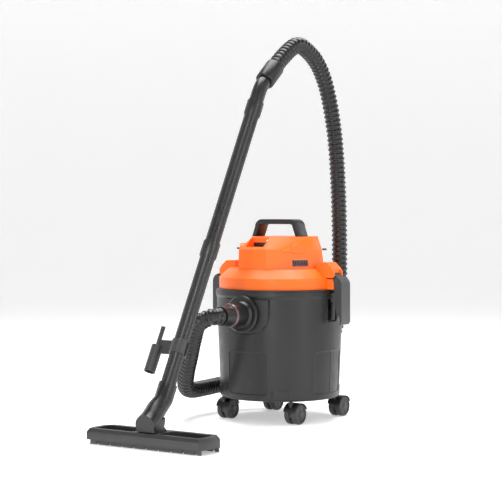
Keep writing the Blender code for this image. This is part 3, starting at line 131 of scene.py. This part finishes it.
def swept(points, radii, steps):
    """Closed tube along a path with a radius at each point, twist-free."""
    bm = bmesh.new()
    rings = []
    along = (points[1] - points[0]).normalized()
    side = along.orthogonal().normalized()
    for k, (point, radius) in enumerate(zip(points, radii)):
        if 0 < k < len(points) - 1:
            new = (points[k + 1] - points[k - 1]).normalized()
            side = (side - new * side.dot(new)).normalized()
            along = new
        up = along.cross(side)
        rings.append([bm.verts.new(point + radius * (side * cos(2 * pi * n / steps)
                                                     + up * sin(2 * pi * n / steps)))
                      for n in range(steps)])
    for a, b in zip(rings, rings[1:]):
        for n in range(steps):
            m = (n + 1) % steps
            bm.faces.new((a[n], a[m], b[m], b[n]))
    bm.faces.new(rings[0])
    bm.faces.new(rings[-1])
    return bm


def turned_bm(profile, steps):
    """Turn a closed (radius, z) outline about Z."""
    bm = bmesh.new()
    rings = []
    for radius, z in profile:
        if radius < ON_AXIS:
            rings.append([bm.verts.new((0, 0, z))] * steps)
        else:
            turns = [2 * pi * k / steps for k in range(steps)]
            rings.append([bm.verts.new((radius * cos(a), radius * sin(a), z)) for a in turns])
    for a, b in zip(rings, rings[1:] + rings[:1]):
        for k in range(steps):
            n = (k + 1) % steps
            corners = list(dict.fromkeys((a[k], a[n], b[n], b[k])))
            if len(corners) > 2:
                bm.faces.new(corners)
    return bm


def extruded(outline, low, high):
    """Prism of an (x, y) outline between two heights."""
    bm = bmesh.new()
    bottom = [bm.verts.new((x, y, low)) for x, y in outline]
    top = [bm.verts.new((x, y, high)) for x, y in outline]
    for k in range(len(outline)):
        n = (k + 1) % len(outline)
        bm.faces.new((bottom[k], bottom[n], top[n], top[k]))
    bm.faces.new(bottom)
    bm.faces.new(top)
    return bm


def bevel(piece, name, width, segments, angle):
    made = piece.modifiers.new(name, 'BEVEL')
    made.width, made.segments = width, segments
    made.limit_method, made.angle_limit = 'ANGLE', radians(angle)
    made.harden_normals = True


def rounded(piece, width):
    """Real rounded edges on a piece of our own."""
    bevel(piece, "rounded", width, ROUND_SEGMENTS, ROUND_ANGLE)


# ---------------------------------------------------------------- finishes
MOTTLE, SPECKLE, UNEVEN, SCRATCHES = 9.0, 260.0, 38.0, 60.0    # noise scales, per metre
WEAR_FROM, WEAR_TO, WORN_BRIGHTER, WORN_LIFT = 0.53, 0.62, 1.5, 0.035
LEAST_ROUGH, ROUGH_SHIFT, GRAIN_DEPTH = 0.04, 0.08, 0.0006


def finish(name, colour, rough, shift=0.10, grain=1400.0, bump=0.10, wear=0.35, coat=0.0,
           coat_rough=0.1, metallic=0.0, sheen=0.0, streak=0.0, specular=0.5):
    """Moulded or spun surface: mottled colour, uneven gloss, fine grain and paler worn edges."""
    made = bpy.data.materials.new(name)
    made.use_nodes = True
    tree = made.node_tree
    shader = tree.nodes["Principled BSDF"]
    shader.inputs["Metallic"].default_value = metallic
    shader.inputs["Coat Weight"].default_value = coat
    shader.inputs["Coat Roughness"].default_value = coat_rough
    shader.inputs["Sheen Weight"].default_value = sheen
    shader.inputs["Specular IOR Level"].default_value = specular

    def add(kind, **values):
        node = tree.nodes.new(kind)
        for key, value in values.items():
            setattr(node, key, value)
        return node

    def noise(scale, detail, rough_value=0.5, stretch=None):
        place = add("ShaderNodeTexCoord").outputs["Object"]
        if stretch:
            mapping = add("ShaderNodeMapping")
            mapping.inputs["Scale"].default_value = stretch
            tree.links.new(place, mapping.inputs["Vector"])
            place = mapping.outputs["Vector"]
        node = add("ShaderNodeTexNoise")
        node.inputs["Scale"].default_value = scale
        node.inputs["Detail"].default_value = detail
        node.inputs["Roughness"].default_value = rough_value
        tree.links.new(place, node.inputs["Vector"])
        return node.outputs["Fac"]

    def ranged(source, low, high, start=0.3, stop=0.7):
        node = add("ShaderNodeMapRange")
        node.inputs["From Min"].default_value = start
        node.inputs["From Max"].default_value = stop
        node.inputs["To Min"].default_value = low
        node.inputs["To Max"].default_value = high
        tree.links.new(source, node.inputs["Value"])
        return node.outputs["Result"]

    def mixed(factor, a, b):
        node = add("ShaderNodeMix", data_type='RGBA')
        for socket, value in ((node.inputs[6], a), (node.inputs[7], b)):
            if isinstance(value, tuple):
                socket.default_value = (*value, 1.0)
            else:
                tree.links.new(value, socket)
        tree.links.new(factor, node.inputs[0])
        return node.outputs[2]

    dark = tuple(c * (1 - shift) for c in colour)
    light = tuple(min(c * (1 + shift), 1.0) for c in colour)
    tone = mixed(ranged(noise(MOTTLE, 4.0), 0.0, 1.0), dark, light)
    flecks = mixed(ranged(noise(SPECKLE, 3.0, 0.6), 0.0, 0.35, 0.45, 0.75), tone, light)
    pale = tuple(min(c * WORN_BRIGHTER + WORN_LIFT, 1.0) for c in colour)
    pointed = add("ShaderNodeNewGeometry").outputs["Pointiness"]
    edges = ranged(pointed, 0.0, wear, WEAR_FROM, WEAR_TO)
    tree.links.new(mixed(edges, flecks, pale), shader.inputs["Base Color"])

    gloss = ranged(noise(UNEVEN, 5.0, 0.62), max(rough - ROUGH_SHIFT, LEAST_ROUGH), rough + ROUGH_SHIFT)
    tree.links.new(gloss, shader.inputs["Roughness"])

    height = noise(grain, 3.0, 0.55)
    if streak:
        lines = noise(SCRATCHES, 4.0, 0.6, (streak, streak, 1.0))
        join = add("ShaderNodeMath", operation='ADD')
        tree.links.new(height, join.inputs[0])
        tree.links.new(lines, join.inputs[1])
        height = join.outputs[0]
    bumped = add("ShaderNodeBump")
    bumped.inputs["Strength"].default_value = bump
    bumped.inputs["Distance"].default_value = GRAIN_DEPTH
    tree.links.new(height, bumped.inputs["Height"])
    tree.links.new(bumped.outputs["Normal"], shader.inputs["Normal"])
    return made


DRUM = finish("drum_finish", (0.018, 0.0183, 0.0188), 0.37, bump=0.09, grain=1700.0, wear=0.20,
              specular=0.36)
ORANGE = finish("orange_finish", (0.96, 0.150, 0.010), 0.38, shift=0.03, bump=0.05, wear=0.25,
                coat=0.10, coat_rough=0.25, specular=0.28)
BLACK = finish("black_finish", (0.007, 0.007, 0.0075), 0.34, bump=0.10, wear=0.5)
INNER = finish("inner_finish", (0.030, 0.030, 0.032), 0.48, bump=0.14)
LATCH = finish("latch_finish", (0.032, 0.033, 0.034), 0.42, bump=0.12, wear=0.35)
TUBE = finish("tube_finish", (0.013, 0.013, 0.0135), 0.30, bump=0.05, wear=0.4, streak=14.0)
NOZZLE = finish("nozzle_finish", (0.018, 0.018, 0.0185), 0.46, bump=0.18, wear=0.45)
HOLDER = finish("holder_finish", (0.030, 0.030, 0.031), 0.40, bump=0.12)
HOSE = finish("hose_finish", (0.006, 0.006, 0.0064), 0.30, bump=0.10, wear=0.45)
WHEEL = finish("wheel_finish", (0.028, 0.028, 0.029), 0.42, bump=0.10, wear=0.5)
COLLAR = finish("collar_finish", (0.10, 0.055, 0.060), 0.26, bump=0.05, coat=0.4)
RUBBER = finish("rubber_finish", (0.016, 0.016, 0.016), 0.72, bump=0.25, grain=2600.0)
BRISTLE = finish("strip_finish", (0.060, 0.060, 0.062), 0.66, bump=0.30, grain=2200.0)
STEEL = finish("steel_finish", (0.55, 0.55, 0.56), 0.28, metallic=1.0, bump=0.05, streak=30.0)
MOTOR = finish("motor_finish", (0.30, 0.30, 0.31), 0.38, metallic=0.8, bump=0.10, streak=20.0)
WHITE = finish("white_finish", (0.72, 0.72, 0.70), 0.45, shift=0.03, bump=0.08)
# Near-black glossy finish for the blocks and plates that paint shade inside recesses, not a real part's
# colour.
RECESS_SHADE = finish("recess_shade_finish", (0.0020, 0.0020, 0.0022), 0.30, bump=0.06, wear=0.1, specular=0.25)
VENT = finish("vent_finish", (0.105, 0.072, 0.082), 0.42, bump=0.10)
CLOTH = finish("cloth_finish", (0.74, 0.73, 0.69), 0.90, bump=0.6, grain=900.0, sheen=0.3)

SLOT_FINISH = {
    "drum_shell": DRUM, "orange_shell": ORANGE, "handle": BLACK, "black_plastic": BLACK,
    "inner_plastic": INNER, "latch": LATCH, "tube": TUBE, "nozzle": NOZZLE, "holder": HOLDER,
    "hose": HOSE, "wheel": WHEEL, "collar": COLLAR, "rubber": RUBBER, "steel": STEEL,
    "motor_steel": MOTOR, "white_plastic": WHITE, "filter_cloth": CLOTH,
}
NODE_FINISH = {
    "nozzle_strip_front": BRISTLE, "nozzle_strip_rear": BRISTLE,
    "vent_grille_left": VENT, "vent_grille_right": VENT,
}
SLOT_OF = {part["node"]: part["material_slot"] for part in frame["record"]["subparts"]}
WELD_WITHIN, FLAT_WITHIN = 0.00001, 0.4         # metres, degrees
SOFT_SEGMENTS, SOFT_ANGLE = 2, 32.0


def soften(node, width):
    """Joins the imported facets again, rounds the sharp edges and shades the curves smooth."""
    piece = NODES[node]
    weld = piece.modifiers.new("weld", 'WELD')
    weld.merge_threshold = WELD_WITHIN
    flat = piece.modifiers.new("flat_faces", 'DECIMATE')
    flat.decimate_type = 'DISSOLVE'
    flat.angle_limit = radians(FLAT_WITHIN)
    bevel(piece, "round_edges", width, SOFT_SEGMENTS, SOFT_ANGLE)
    mesh = piece.data
    if "custom_normal" in mesh.attributes:
        mesh.attributes.remove(mesh.attributes["custom_normal"])
    mesh.shade_smooth()


for node, piece in NODES.items():
    piece.data.materials.clear()
    piece.data.materials.append(NODE_FINISH.get(node, SLOT_FINISH[SLOT_OF[node]]))

CASTER_SOFT = 0.0006
SOFT = {                                        # bevel width of each CAD piece, metres
    "lid": 0.0008, "motor_cover": 0.0016, "carry_handle": 0.0006,
    "latch_left": 0.0012, "latch_right": 0.0012, "nozzle_body": 0.0014, "nozzle_neck": 0.0012,
    "accessory_holder": 0.0006, "inlet_port": 0.0006, "hose_collar": 0.0006, "drum_hose_cuff": 0.0006,
    "wand_tube_lower": 0.0006, "wand_tube_upper": 0.0006, "wand_bend": 0.0004,
    "wand_hose_cuff": 0.0008, "cord_hook_left": 0.0007, "cord_hook_right": 0.0007,
    "cable_gland": 0.0006, "switch_rocker": 0.0007, "vent_grille_left": 0.0003,
    "vent_grille_right": 0.0003, "nozzle_sole": 0.0006,
}
for node, width in SOFT.items():
    soften(node, width)
for node in NODES:
    if node.startswith(("caster_wheel", "caster_hood")):
        soften(node, CASTER_SOFT)


# ---------------------------------------------------------------- drum
DRUM_LOW, DRUM_HIGH, DRUM_LOW_R, DRUM_HIGH_R, DRUM_WALL = 0.0515, 0.3000, 0.1360, 0.1455, 0.0030
BEAD_LOW, BEAD_FULL, BEAD_HIGH, BEAD_OUT, FLANGE_R = 0.2800, 0.2872, 0.2950, 0.0026, 0.1345
BASE_MID_R = 0.0450
PANEL_HALF, PANEL_R, PANEL_LOW, PANEL_HIGH, PANEL_CORNER = 21, 0.1395, 0.067, 0.161, 0.007
PANEL_SUNK, PANEL_LIP, RIB_HIGH = 0.0013, 0.0002, 0.0010
BOSS_HALF, BOSS_R, BOSS_LOW, BOSS_HIGH, BOSS_CORNER = 24, 0.1435, 0.205, 0.330, 0.045
BOSS_TOP, BOSS_PROUD, BOSS_GROOVE = 0.2795, 0.0025, 0.0009
FOOT_HALF, FOOT_R, FOOT_LOW, FOOT_HIGH, FOOT_SHIFT = 9.2, 0.1375, 0.030, 0.0775, 9
FOOT_CORNER, FOOT_PROUD = 0.004, 0.0012
POCKET_HALF, POCKET_LOW, POCKET_CORNER, POCKET_DEEP = 0.0235, 0.229, 0.010, 0.0130


def step_up(value, half):
    """0 below -half, 1 above +half, smooth between."""
    share = np.clip((value + half) / (2 * half), 0.0, 1.0)
    return share * share * (3 - 2 * share)


def inside_panel(along, high, half, low, top, corner):
    """Signed distance into a rounded rectangle on the unrolled wall; positive inside."""
    mid, tall = (low + top) / 2, (top - low) / 2
    dx, dz = np.abs(along) - (half - corner), np.abs(high - mid) - (tall - corner)
    outside = np.hypot(np.maximum(dx, 0), np.maximum(dz, 0))
    return corner - outside - np.minimum(np.maximum(dx, dz), 0)


def spread_marks(low, high, count, marks, reach, extra):
    """Even positions with more of them around the marks."""
    places = list(np.linspace(low, high, count))
    for mark in marks:
        places += list(np.linspace(mark - reach, mark + reach, extra))
    kept = []
    for place in sorted(float(p) for p in places if low <= p <= high):
        if not kept or place - kept[-1] > (high - low) / count * 0.06:
            kept.append(place)
    return np.array(kept)


def make_drum_shell():
    """Drum wall as a relief over angle and height, closed by its flange, inner wall and base."""
    heights = spread_marks(DRUM_LOW + 0.0055, DRUM_HIGH - 0.0010, 120,
                           (PANEL_LOW, PANEL_HIGH, FOOT_HIGH, BEAD_LOW, BEAD_FULL, BEAD_HIGH, 0.278),
                           0.0016, 5)
    marks = [90 * k + s * PANEL_HALF for k in range(-2, 3) for s in (-1, 1)]
    marks += [90 * k + s * 1.2 for k in range(-2, 3) for s in (-1, 1)]
    marks += [-90 + s * BOSS_HALF for s in (-1, 1)] + [s * 9.5 for s in (-1, 1)]
    turns = spread_marks(-180.0, 180.0 - 0.6, 500, marks, 0.6, 5)
    angle, high = np.meshgrid(turns, heights)
    radius = DRUM_LOW_R + (DRUM_HIGH_R - DRUM_LOW_R) * (high - DRUM_LOW) / (DRUM_HIGH - DRUM_LOW)
    bead = np.clip((high - BEAD_LOW) / (BEAD_FULL - BEAD_LOW), 0, 1) * (high < BEAD_HIGH)
    wall = radius.copy()

    def along(middle):
        return np.radians((angle - middle + 180) % 360 - 180) * wall

    for k in range(4):
        gap = inside_panel(along(90 * k), high, radians(PANEL_HALF) * PANEL_R, PANEL_LOW, PANEL_HIGH,
                           PANEL_CORNER)
        radius -= PANEL_SUNK * step_up(gap, 0.0007)
        lip = np.abs(gap) < 0.0045
        radius += PANEL_LIP * lip * step_up(-gap, 0.002)
        rib = step_up(0.0016 - np.abs(along(90 * k)), 0.0006)
        radius += RIB_HIGH * rib * step_up(gap - 0.001, 0.001)
    boss = inside_panel(along(-90), high, radians(BOSS_HALF) * BOSS_R, BOSS_LOW, BOSS_HIGH, BOSS_CORNER)
    radius += BOSS_PROUD * step_up(boss - 0.0006, 0.0007) * (high < BOSS_TOP)
    radius -= BOSS_GROOVE * step_up(0.0010 - np.abs(boss + 0.0010), 0.0005) * (high < BOSS_TOP)
    for k in range(4):
        foot = inside_panel(along(45 + 90 * k - FOOT_SHIFT), high, radians(FOOT_HALF) * FOOT_R,
                            FOOT_LOW, FOOT_HIGH, FOOT_CORNER)
        radius += FOOT_PROUD * step_up(foot, 0.0006)
    for side in (0, 180):
        pocket = inside_panel(along(side), high, POCKET_HALF, POCKET_LOW, DRUM_HIGH, POCKET_CORNER)
        radius -= POCKET_DEEP * step_up(pocket - 0.0012, 0.0012) * (high < BEAD_LOW)
    radius += BEAD_OUT * bead
    bead_r = DRUM_LOW_R + (DRUM_HIGH_R - DRUM_LOW_R) * (BEAD_LOW - DRUM_LOW) / (DRUM_HIGH - DRUM_LOW)
    radius = np.minimum(radius, bead_r + BEAD_OUT)
    bm = bmesh.new()
    rows = []

    def ring(radii, z):
        return [bm.verts.new((AXIS.x + r * cos(a), AXIS.y + r * sin(a), z))
                for r, a in zip(radii, np.radians(turns))]

    count = len(turns)
    rows.append(ring([BASE_MID_R] * count, DRUM_LOW))
    rows.append(ring([DRUM_LOW_R - 0.0060] * count, DRUM_LOW))
    rows.append(ring([DRUM_LOW_R - 0.0028] * count, DRUM_LOW + 0.0008))
    rows.append(ring([DRUM_LOW_R - 0.0008] * count, DRUM_LOW + 0.0026))
    for z, radii in zip(heights, radius):
        rows.append(ring(radii, float(z)))
    rows.append(ring([DRUM_HIGH_R - 0.0006] * count, DRUM_HIGH))
    rows.append(ring([FLANGE_R] * count, DRUM_HIGH))
    rows.append(ring([FLANGE_R] * count, DRUM_HIGH - DRUM_WALL))
    rows.append(ring([DRUM_HIGH_R - DRUM_WALL - 0.001] * count, DRUM_HIGH - 2 * DRUM_WALL))
    rows.append(ring([DRUM_LOW_R - DRUM_WALL] * count, DRUM_LOW + DRUM_WALL + 0.004))
    rows.append(ring([DRUM_LOW_R - DRUM_WALL - 0.005] * count, DRUM_LOW + DRUM_WALL))
    rows.append(ring([BASE_MID_R] * count, DRUM_LOW + DRUM_WALL))
    for a, b in zip(rows, rows[1:]):
        for n in range(count):
            m = (n + 1) % count
            bm.faces.new((a[n], a[m], b[m], b[n]))
    bm.faces.new(rows[0])
    bm.faces.new(rows[-1])
    shell = new_piece("drum_shell", bm, DRUM, "drum_and_wand", angle=50.0)
    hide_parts("drum")
    # Each latch pocket gets a near-black block inside it: painted shade that darkens the recess behind the
    # latch.
    for side, sign in (("right", 1), ("left", -1)):
        turn = Matrix.Translation(AXIS) @ Matrix.Scale(sign, 4, (1, 0, 0))
        outline = [(DRUM_HIGH_R - POCKET_DEEP + 0.0110 * cos(a), 0.0205 * sin(a)) for a in
                   (radians(k) for k in range(-90, 91, 15))]
        bm = extruded(outline, 0.2305, 0.2788)
        pocket_shade = new_piece(f"pocket_shade_block_{side}", bm, RECESS_SHADE, "drum_and_wand", turn,
                           30.0)
        rounded(pocket_shade, 0.0015)


make_drum_shell()


# ---------------------------------------------------------------- casters
CASTER_HALF, CASTER_TRAIL, WHEEL_R, WHEEL_GAP, WHEEL_W = 0.0925, 0.0170, 0.0230, 0.0080, 0.0125
WHEEL_RIBS, RIB_SIZE, RIB_AT = 6, (0.0084, 0.0012, 0.0014), 0.0122


def make_wheels():
    """Twin caster wheels: rounded tread, raised rim, sunk face with a hub cap and ribs."""
    near, far = WHEEL_GAP / 2, WHEEL_GAP / 2 + WHEEL_W
    r = WHEEL_R
    profile = [
        (0.0022, near), (r - 0.0010, near), (r - 0.0002, near + 0.0006), (r, near + 0.0020),
        (r, far - 0.0040), (r - 0.0006, far - 0.0020), (r - 0.0018, far - 0.0006), (r - 0.0034, far),
        (r - 0.0052, far), (r - 0.0058, far - 0.0006), (r - 0.0062, far - 0.0018),
        (0.0084, far - 0.0016), (0.0078, far - 0.0008), (0.0066, far - 0.0002), (0.0, far),
        (0.0, far - 0.0020), (0.0022, far - 0.0024),
    ]
    for name, (sx, sy) in {"front_left": (-1, -1), "front_right": (1, -1),
                           "rear_left": (-1, 1), "rear_right": (1, 1)}.items():
        centre = AXIS + Vector((sx * CASTER_HALF, sy * CASTER_HALF + CASTER_TRAIL, WHEEL_R))
        for side, sign in (("left", -1), ("right", 1)):
            place = Matrix.Translation(centre) @ Matrix.Rotation(radians(90 * sign), 4, 'Y')
            bm = turned_bm(profile, 48)
            for k in range(WHEEL_RIBS):
                rib = bmesh.ops.create_cube(bm, size=1.0)["verts"]
                bmesh.ops.scale(bm, vec=RIB_SIZE, verts=rib)
                bmesh.ops.translate(bm, vec=(RIB_AT, 0, far - 0.0016), verts=rib)
                bmesh.ops.rotate(bm, matrix=Matrix.Rotation(radians(360 / WHEEL_RIBS * k), 3, 'Z'), verts=rib)
            wheel = new_piece(f"wheel_{name}_{side}", bm, WHEEL, f"wheels_{name}", place)
            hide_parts(f"caster_wheel_{name}_{side}")


make_wheels()


def cross_screw(name, place, body, radius):
    """Pan head with a cross recess, standing a little proud."""
    bm = turned_bm([(0.0, -0.0010), (radius, -0.0010), (radius, 0.0002), (radius * 0.86, 0.0009),
                    (radius * 0.5, 0.0013), (0.0, 0.0014)], 24)
    screw = new_piece(name, bm, STEEL, body, place)
    cut_bm = bmesh.new()
    for k in range(2):
        arm = bmesh.ops.create_cube(cut_bm, size=1.0)["verts"]
        bmesh.ops.scale(cut_bm, vec=(radius * 1.15, radius * 0.28, 0.0020), verts=arm)
        bmesh.ops.translate(cut_bm, vec=(0, 0, 0.0014), verts=arm)
        bmesh.ops.rotate(cut_bm, matrix=Matrix.Rotation(radians(90 * k + 20), 3, 'Z'), verts=arm)
    mesh = bpy.data.meshes.new("cross")
    cut_bm.to_mesh(mesh)
    cut_bm.free()
    mesh.transform(place)
    tool = bpy.data.objects.new(name + "_tool", mesh)
    bpy.context.scene.collection.objects.link(tool)
    sink = screw.modifiers.new("recess", 'BOOLEAN')
    sink.operation, sink.object, sink.use_self = 'DIFFERENCE', tool, True
    bpy.context.view_layer.objects.active = screw
    bpy.ops.object.modifier_apply(modifier=sink.name)
    bpy.data.objects.remove(tool)


def both_sides(build):
    """Build a piece on the right and its mirror image on the left of the drum's axis."""
    mirror = Matrix.Translation((2 * AXIS.x, 0, 0)) @ Matrix.Scale(-1, 4, (1, 0, 0))
    build("right", Matrix.Identity(4))
    build("left", mirror)


def make_cover_details():
    """Arched pads and blisters on the front faces, lugs under the latch brackets, two screws."""
    corner, far_corner = Vector((0.0375, -0.1100, 0)), Vector((0.0970, -0.0120, 0))
    along = (far_corner - corner).normalized()
    out = Vector((along.y, -along.x, 0))
    face = Matrix((
        (along.x, 0, out.x, AXIS.x + corner.x), (along.y, 0, out.y, AXIS.y + corner.y),
        (0, 1, 0, 0), (0, 0, 0, 1)))

    def pads(side, mirror):
        half, base, spring = 0.0177, 0.3800, 0.3870
        arch = [(-half, base), (half, base)]
        arch += [(half * cos(radians(a)), spring + half * 0.9 * sin(radians(a))) for a in range(0, 181, 12)]
        bm = extruded([(0.0780 + x, z) for x, z in arch], -0.0190, 0.0022)
        pad = new_piece(f"arched_pad_{side}", bm, ORANGE, "head", mirror @ face, 30.0)
        rounded(pad, 0.0018)
        fin = [(0.0350, 0.3840), (0.0610, 0.3830), (0.0610, 0.3945), (0.0520, 0.3915)]
        bm = extruded(fin, -0.0100, 0.0026)
        blister = new_piece(f"blister_{side}", bm, ORANGE, "head", mirror @ face, 30.0)
        rounded(blister, 0.0018)

    def lugs(side, mirror):
        bm = extruded([(0.1335, 0.3006), (0.1570, 0.3006), (0.1570, 0.3190), (0.1550, 0.3240),
                       (0.1335, 0.3240)], -0.0190, 0.0190)
        place = Matrix(((1, 0, 0, AXIS.x), (0, 0, 1, AXIS.y), (0, 1, 0, 0), (0, 0, 0, 1)))
        lug = new_piece(f"bracket_lug_{side}", bm, ORANGE, "head", mirror @ place, 30.0)
        rounded(lug, 0.0012)

    both_sides(pads)
    both_sides(lugs)
    slope = Matrix.Translation(AXIS + Vector((0.0225, -0.0850, 0.4103)))
    cross_screw("slope_screw", slope @ Matrix.Rotation(radians(39), 4, 'X'), "head", 0.0026)
    side = Matrix.Translation(AXIS + Vector((0.0905, 0.0350, 0.3800)))
    cross_screw("side_screw", side @ Matrix.Rotation(radians(33.9), 4, 'Z')
                @ Matrix.Rotation(radians(90), 4, 'Y'), "head", 0.0030)


make_cover_details()


# ---------------------------------------------------------------- floor nozzle
NOZZLE_MID_X, NOZZLE_FRONT_Y = 0.0500, -0.5695


def make_nozzle_details():
    """Notched lip strips, and near-black glossy plates in the two recesses that paint their shade."""
    place = Matrix.Translation(AXIS + Vector((NOZZLE_MID_X, 0, 0)))
    half, notches, deep, wide = 0.1415, 9, 0.0062, 0.0028
    for name, y in (("front", NOZZLE_FRONT_Y + 0.0085), ("rear", NOZZLE_FRONT_Y + 0.0675)):
        outline = [(half, 0.0096), (-half, 0.0096), (-half, 0.0)]
        for k in range(notches):
            x = -half + 2 * half * (k + 0.62) / notches
            outline += [(x - wide, 0.0), (x - 0.0004, deep), (x + 0.0004, deep), (x + wide, 0.0)]
        outline.append((half, 0.0))
        bm = extruded(outline, -y - 0.0038, -y - 0.0002)
        turn = Matrix(((1, 0, 0, 0), (0, 0, -1, 0), (0, 1, 0, 0), (0, 0, 0, 1)))
        strip = new_piece(f"lip_strip_{name}", bm, BRISTLE, "floor_nozzle", place @ turn, 30.0)
        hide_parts(f"nozzle_strip_{name}")
    # The near-black plates below are painted shade: they darken the two recesses.
    for side, sign in (("left", -1), ("right", 1)):
        x0, x1 = sorted((sign * 0.0335, sign * 0.1335))
        y0, y1 = NOZZLE_FRONT_Y + 0.0145, NOZZLE_FRONT_Y + 0.0615
        corner = 0.0050
        outline = []
        for cx, cy, start in ((x1 - corner, y1 - corner, 0), (x0 + corner, y1 - corner, 90),
                              (x0 + corner, y0 + corner, 180), (x1 - corner, y0 + corner, 270)):
            outline += [(cx + corner * cos(radians(start + a)), cy + corner * sin(radians(start + a)))
                        for a in range(0, 91, 18)]
        shade_plate = new_piece(f"recess_shade_plate_{side}", extruded(outline, 0.0229, 0.0242), RECESS_SHADE, "floor_nozzle",
                         place, 30.0)
        rounded(shade_plate, 0.0004)


make_nozzle_details()


# ---------------------------------------------------------------- hose
HOSE_R, HOSE_ROOT, HOSE_PITCH, HOSE_STEPS = 0.0190, 0.0163, 0.0113, 36
HOSE_ROUTE = [
    (0.050, -0.004, 0.853), (0.050, 0.040, 0.842), (0.050, 0.080, 0.817), (0.050, 0.109, 0.782),
    (0.050, 0.128, 0.745), (0.050, 0.150, 0.679), (0.050, 0.164, 0.609), (0.050, 0.174, 0.510),
    (0.050, 0.178, 0.430), (0.050, 0.179, 0.359), (0.049, 0.180, 0.290), (0.041, 0.182, 0.215),
    (0.010, 0.186, 0.150), (-0.048, 0.180, 0.106), (-0.110, 0.143, 0.084), (-0.153, 0.080, 0.072),
    (-0.174, 0.010, 0.065), (-0.176, -0.060, 0.062), (-0.168, -0.117, 0.064),
    (-0.149, -0.162, 0.078), (-0.124, -0.192, 0.111), (-0.095, -0.217, 0.153),
    (-0.066, -0.242, 0.196), (-0.037, -0.262, 0.231),
]
STUB, INLET_Y, INLET_Z = 0.0120, -0.2323, 0.2470
WAND_LEAN, BEND_TURN, BEND_R, BEND_IN, BEND_OUT = 27.9, 22.0, 0.0700, 0.0260, 0.0200
WAND_FOOT, WAND_END = Vector((0.050, -0.482, 0.124)), 0.6685


def wand_frame():
    """Origin at the wand's foot, Z up along its axis, in world metres."""
    return Matrix.Translation(WAND_FOOT + AXIS) @ Matrix.Rotation(radians(-WAND_LEAN), 4, 'X')


def cuff_frame():
    """Origin at the bent tube's end, Z along the way the hose leaves."""
    turn = radians(BEND_TURN)
    y = BEND_R * (1 - cos(turn)) + BEND_OUT * sin(turn)
    z = WAND_END + BEND_IN + BEND_R * sin(turn) + BEND_OUT * cos(turn)
    return wand_frame() @ Matrix.Translation((0, y, z)) @ Matrix.Rotation(-turn, 4, 'X')


def make_hose():
    cuff = cuff_frame()
    start = 0.0423
    route = [cuff @ Vector((0, 0, start + STUB)), cuff @ Vector((0, 0, start + 2 * STUB))]
    route += [Vector(p) + AXIS for p in HOSE_ROUTE]
    route += [AXIS + Vector((-0.0040, INLET_Y - 2.2 * STUB, INLET_Z)),
              AXIS + Vector((0.0, INLET_Y - STUB, INLET_Z))]
    line = [cuff @ Vector((0, 0, start))] + smooth_path(route, 400)
    line += [AXIS + Vector((0.0, INLET_Y, INLET_Z))]
    line.reverse()
    long = path_length(line)
    ribs = round(long / HOSE_PITCH)
    shape = (0.0, 0.0, 0.25, 0.90, 1.0, 0.90, 0.25, 0.0)
    points = even_points(line, ribs * len(shape) + 1)
    radii = [HOSE_ROOT + (HOSE_R - HOSE_ROOT) * shape[k % len(shape)] for k in range(len(points))]
    hose = new_piece("ribbed_hose", swept(points, radii, HOSE_STEPS), HOSE, "drum_and_wand",
                     angle=60.0)
    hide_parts("hose")


make_hose()


# ---------------------------------------------------------------- floor and lights
LIGHT_AIM, PAPER_GLOW, WORLD_GLOW = (0, 0, 0.35), 0.37, 0.04


def make_stage():
    """Round studio floor of pale paper that curves up into a low wall on every side."""
    reach, bend, high, steps = 7.0, 2.0, 6.0, 96
    profile = [(0.0, 0.0), (1.5, 0.0), (reach - bend, 0.0)]
    profile += [(reach - bend + bend * sin(radians(a)), bend - bend * cos(radians(a)))
                for a in range(6, 90, 6)]
    profile += [(reach, bend), (reach, high)]
    bm = bmesh.new()
    middle = bm.verts.new((0, 0, 0))
    rings = [[bm.verts.new((r * cos(2 * pi * k / steps), r * sin(2 * pi * k / steps), z))
              for k in range(steps)] for r, z in profile[1:]]
    for k in range(steps):
        n = (k + 1) % steps
        bm.faces.new((middle, rings[0][k], rings[0][n]))
        for a, b in zip(rings, rings[1:]):
            bm.faces.new((a[k], a[n], b[n], b[k]))
    paper = finish("paper_finish", (0.86, 0.86, 0.86), 0.85, shift=0.01, bump=0.02, wear=0.0)
    glow = paper.node_tree.nodes["Principled BSDF"]
    glow.inputs["Emission Color"].default_value = (1.0, 1.0, 1.0, 1.0)
    glow.inputs["Emission Strength"].default_value = PAPER_GLOW
    floor = new_piece("floor_sweep", bm, paper, None, Matrix.Translation(AXIS), 60.0)


def area_light(name, azimuth, away, high, wide, tall, power):
    """White soft box at an azimuth measured from the camera's side, aimed at the object."""
    lamp = bpy.data.lights.new(name, 'AREA')
    lamp.shape = 'RECTANGLE'
    lamp.size, lamp.size_y = wide, tall
    lamp.energy = power
    made = bpy.data.objects.new(name, lamp)
    bpy.context.scene.collection.objects.link(made)
    a = radians(CAMERA_AZIMUTH + azimuth)
    made.location = AXIS + Vector((away * sin(a), -away * cos(a), high))
    towards = AXIS + Vector(LIGHT_AIM) - made.location
    made.rotation_euler = towards.to_track_quat('-Z', 'Y').to_euler()


def make_lights():
    area_light("top_box", 180, 0.3, 2.6, 1.9, 1.9, 88)
    area_light("left_strip", -17, 2.6, 1.0, 0.34, 2.2, 23)
    area_light("right_strip", 44, 2.6, 1.0, 0.56, 2.2, 13)
    area_light("right_fill", 118, 2.4, 1.2, 1.0, 2.0, 6)
    area_light("left_rim", -138, 2.4, 1.2, 0.8, 2.0, 4)
    world = bpy.data.worlds.new("studio")
    bpy.context.scene.world = world
    world.use_nodes = True
    background = world.node_tree.nodes["Background"]
    background.inputs["Color"].default_value = (1, 1, 1, 1)
    background.inputs["Strength"].default_value = WORLD_GLOW


make_stage()
make_lights()
bpy.context.scene.view_settings.view_transform = 'Standard'
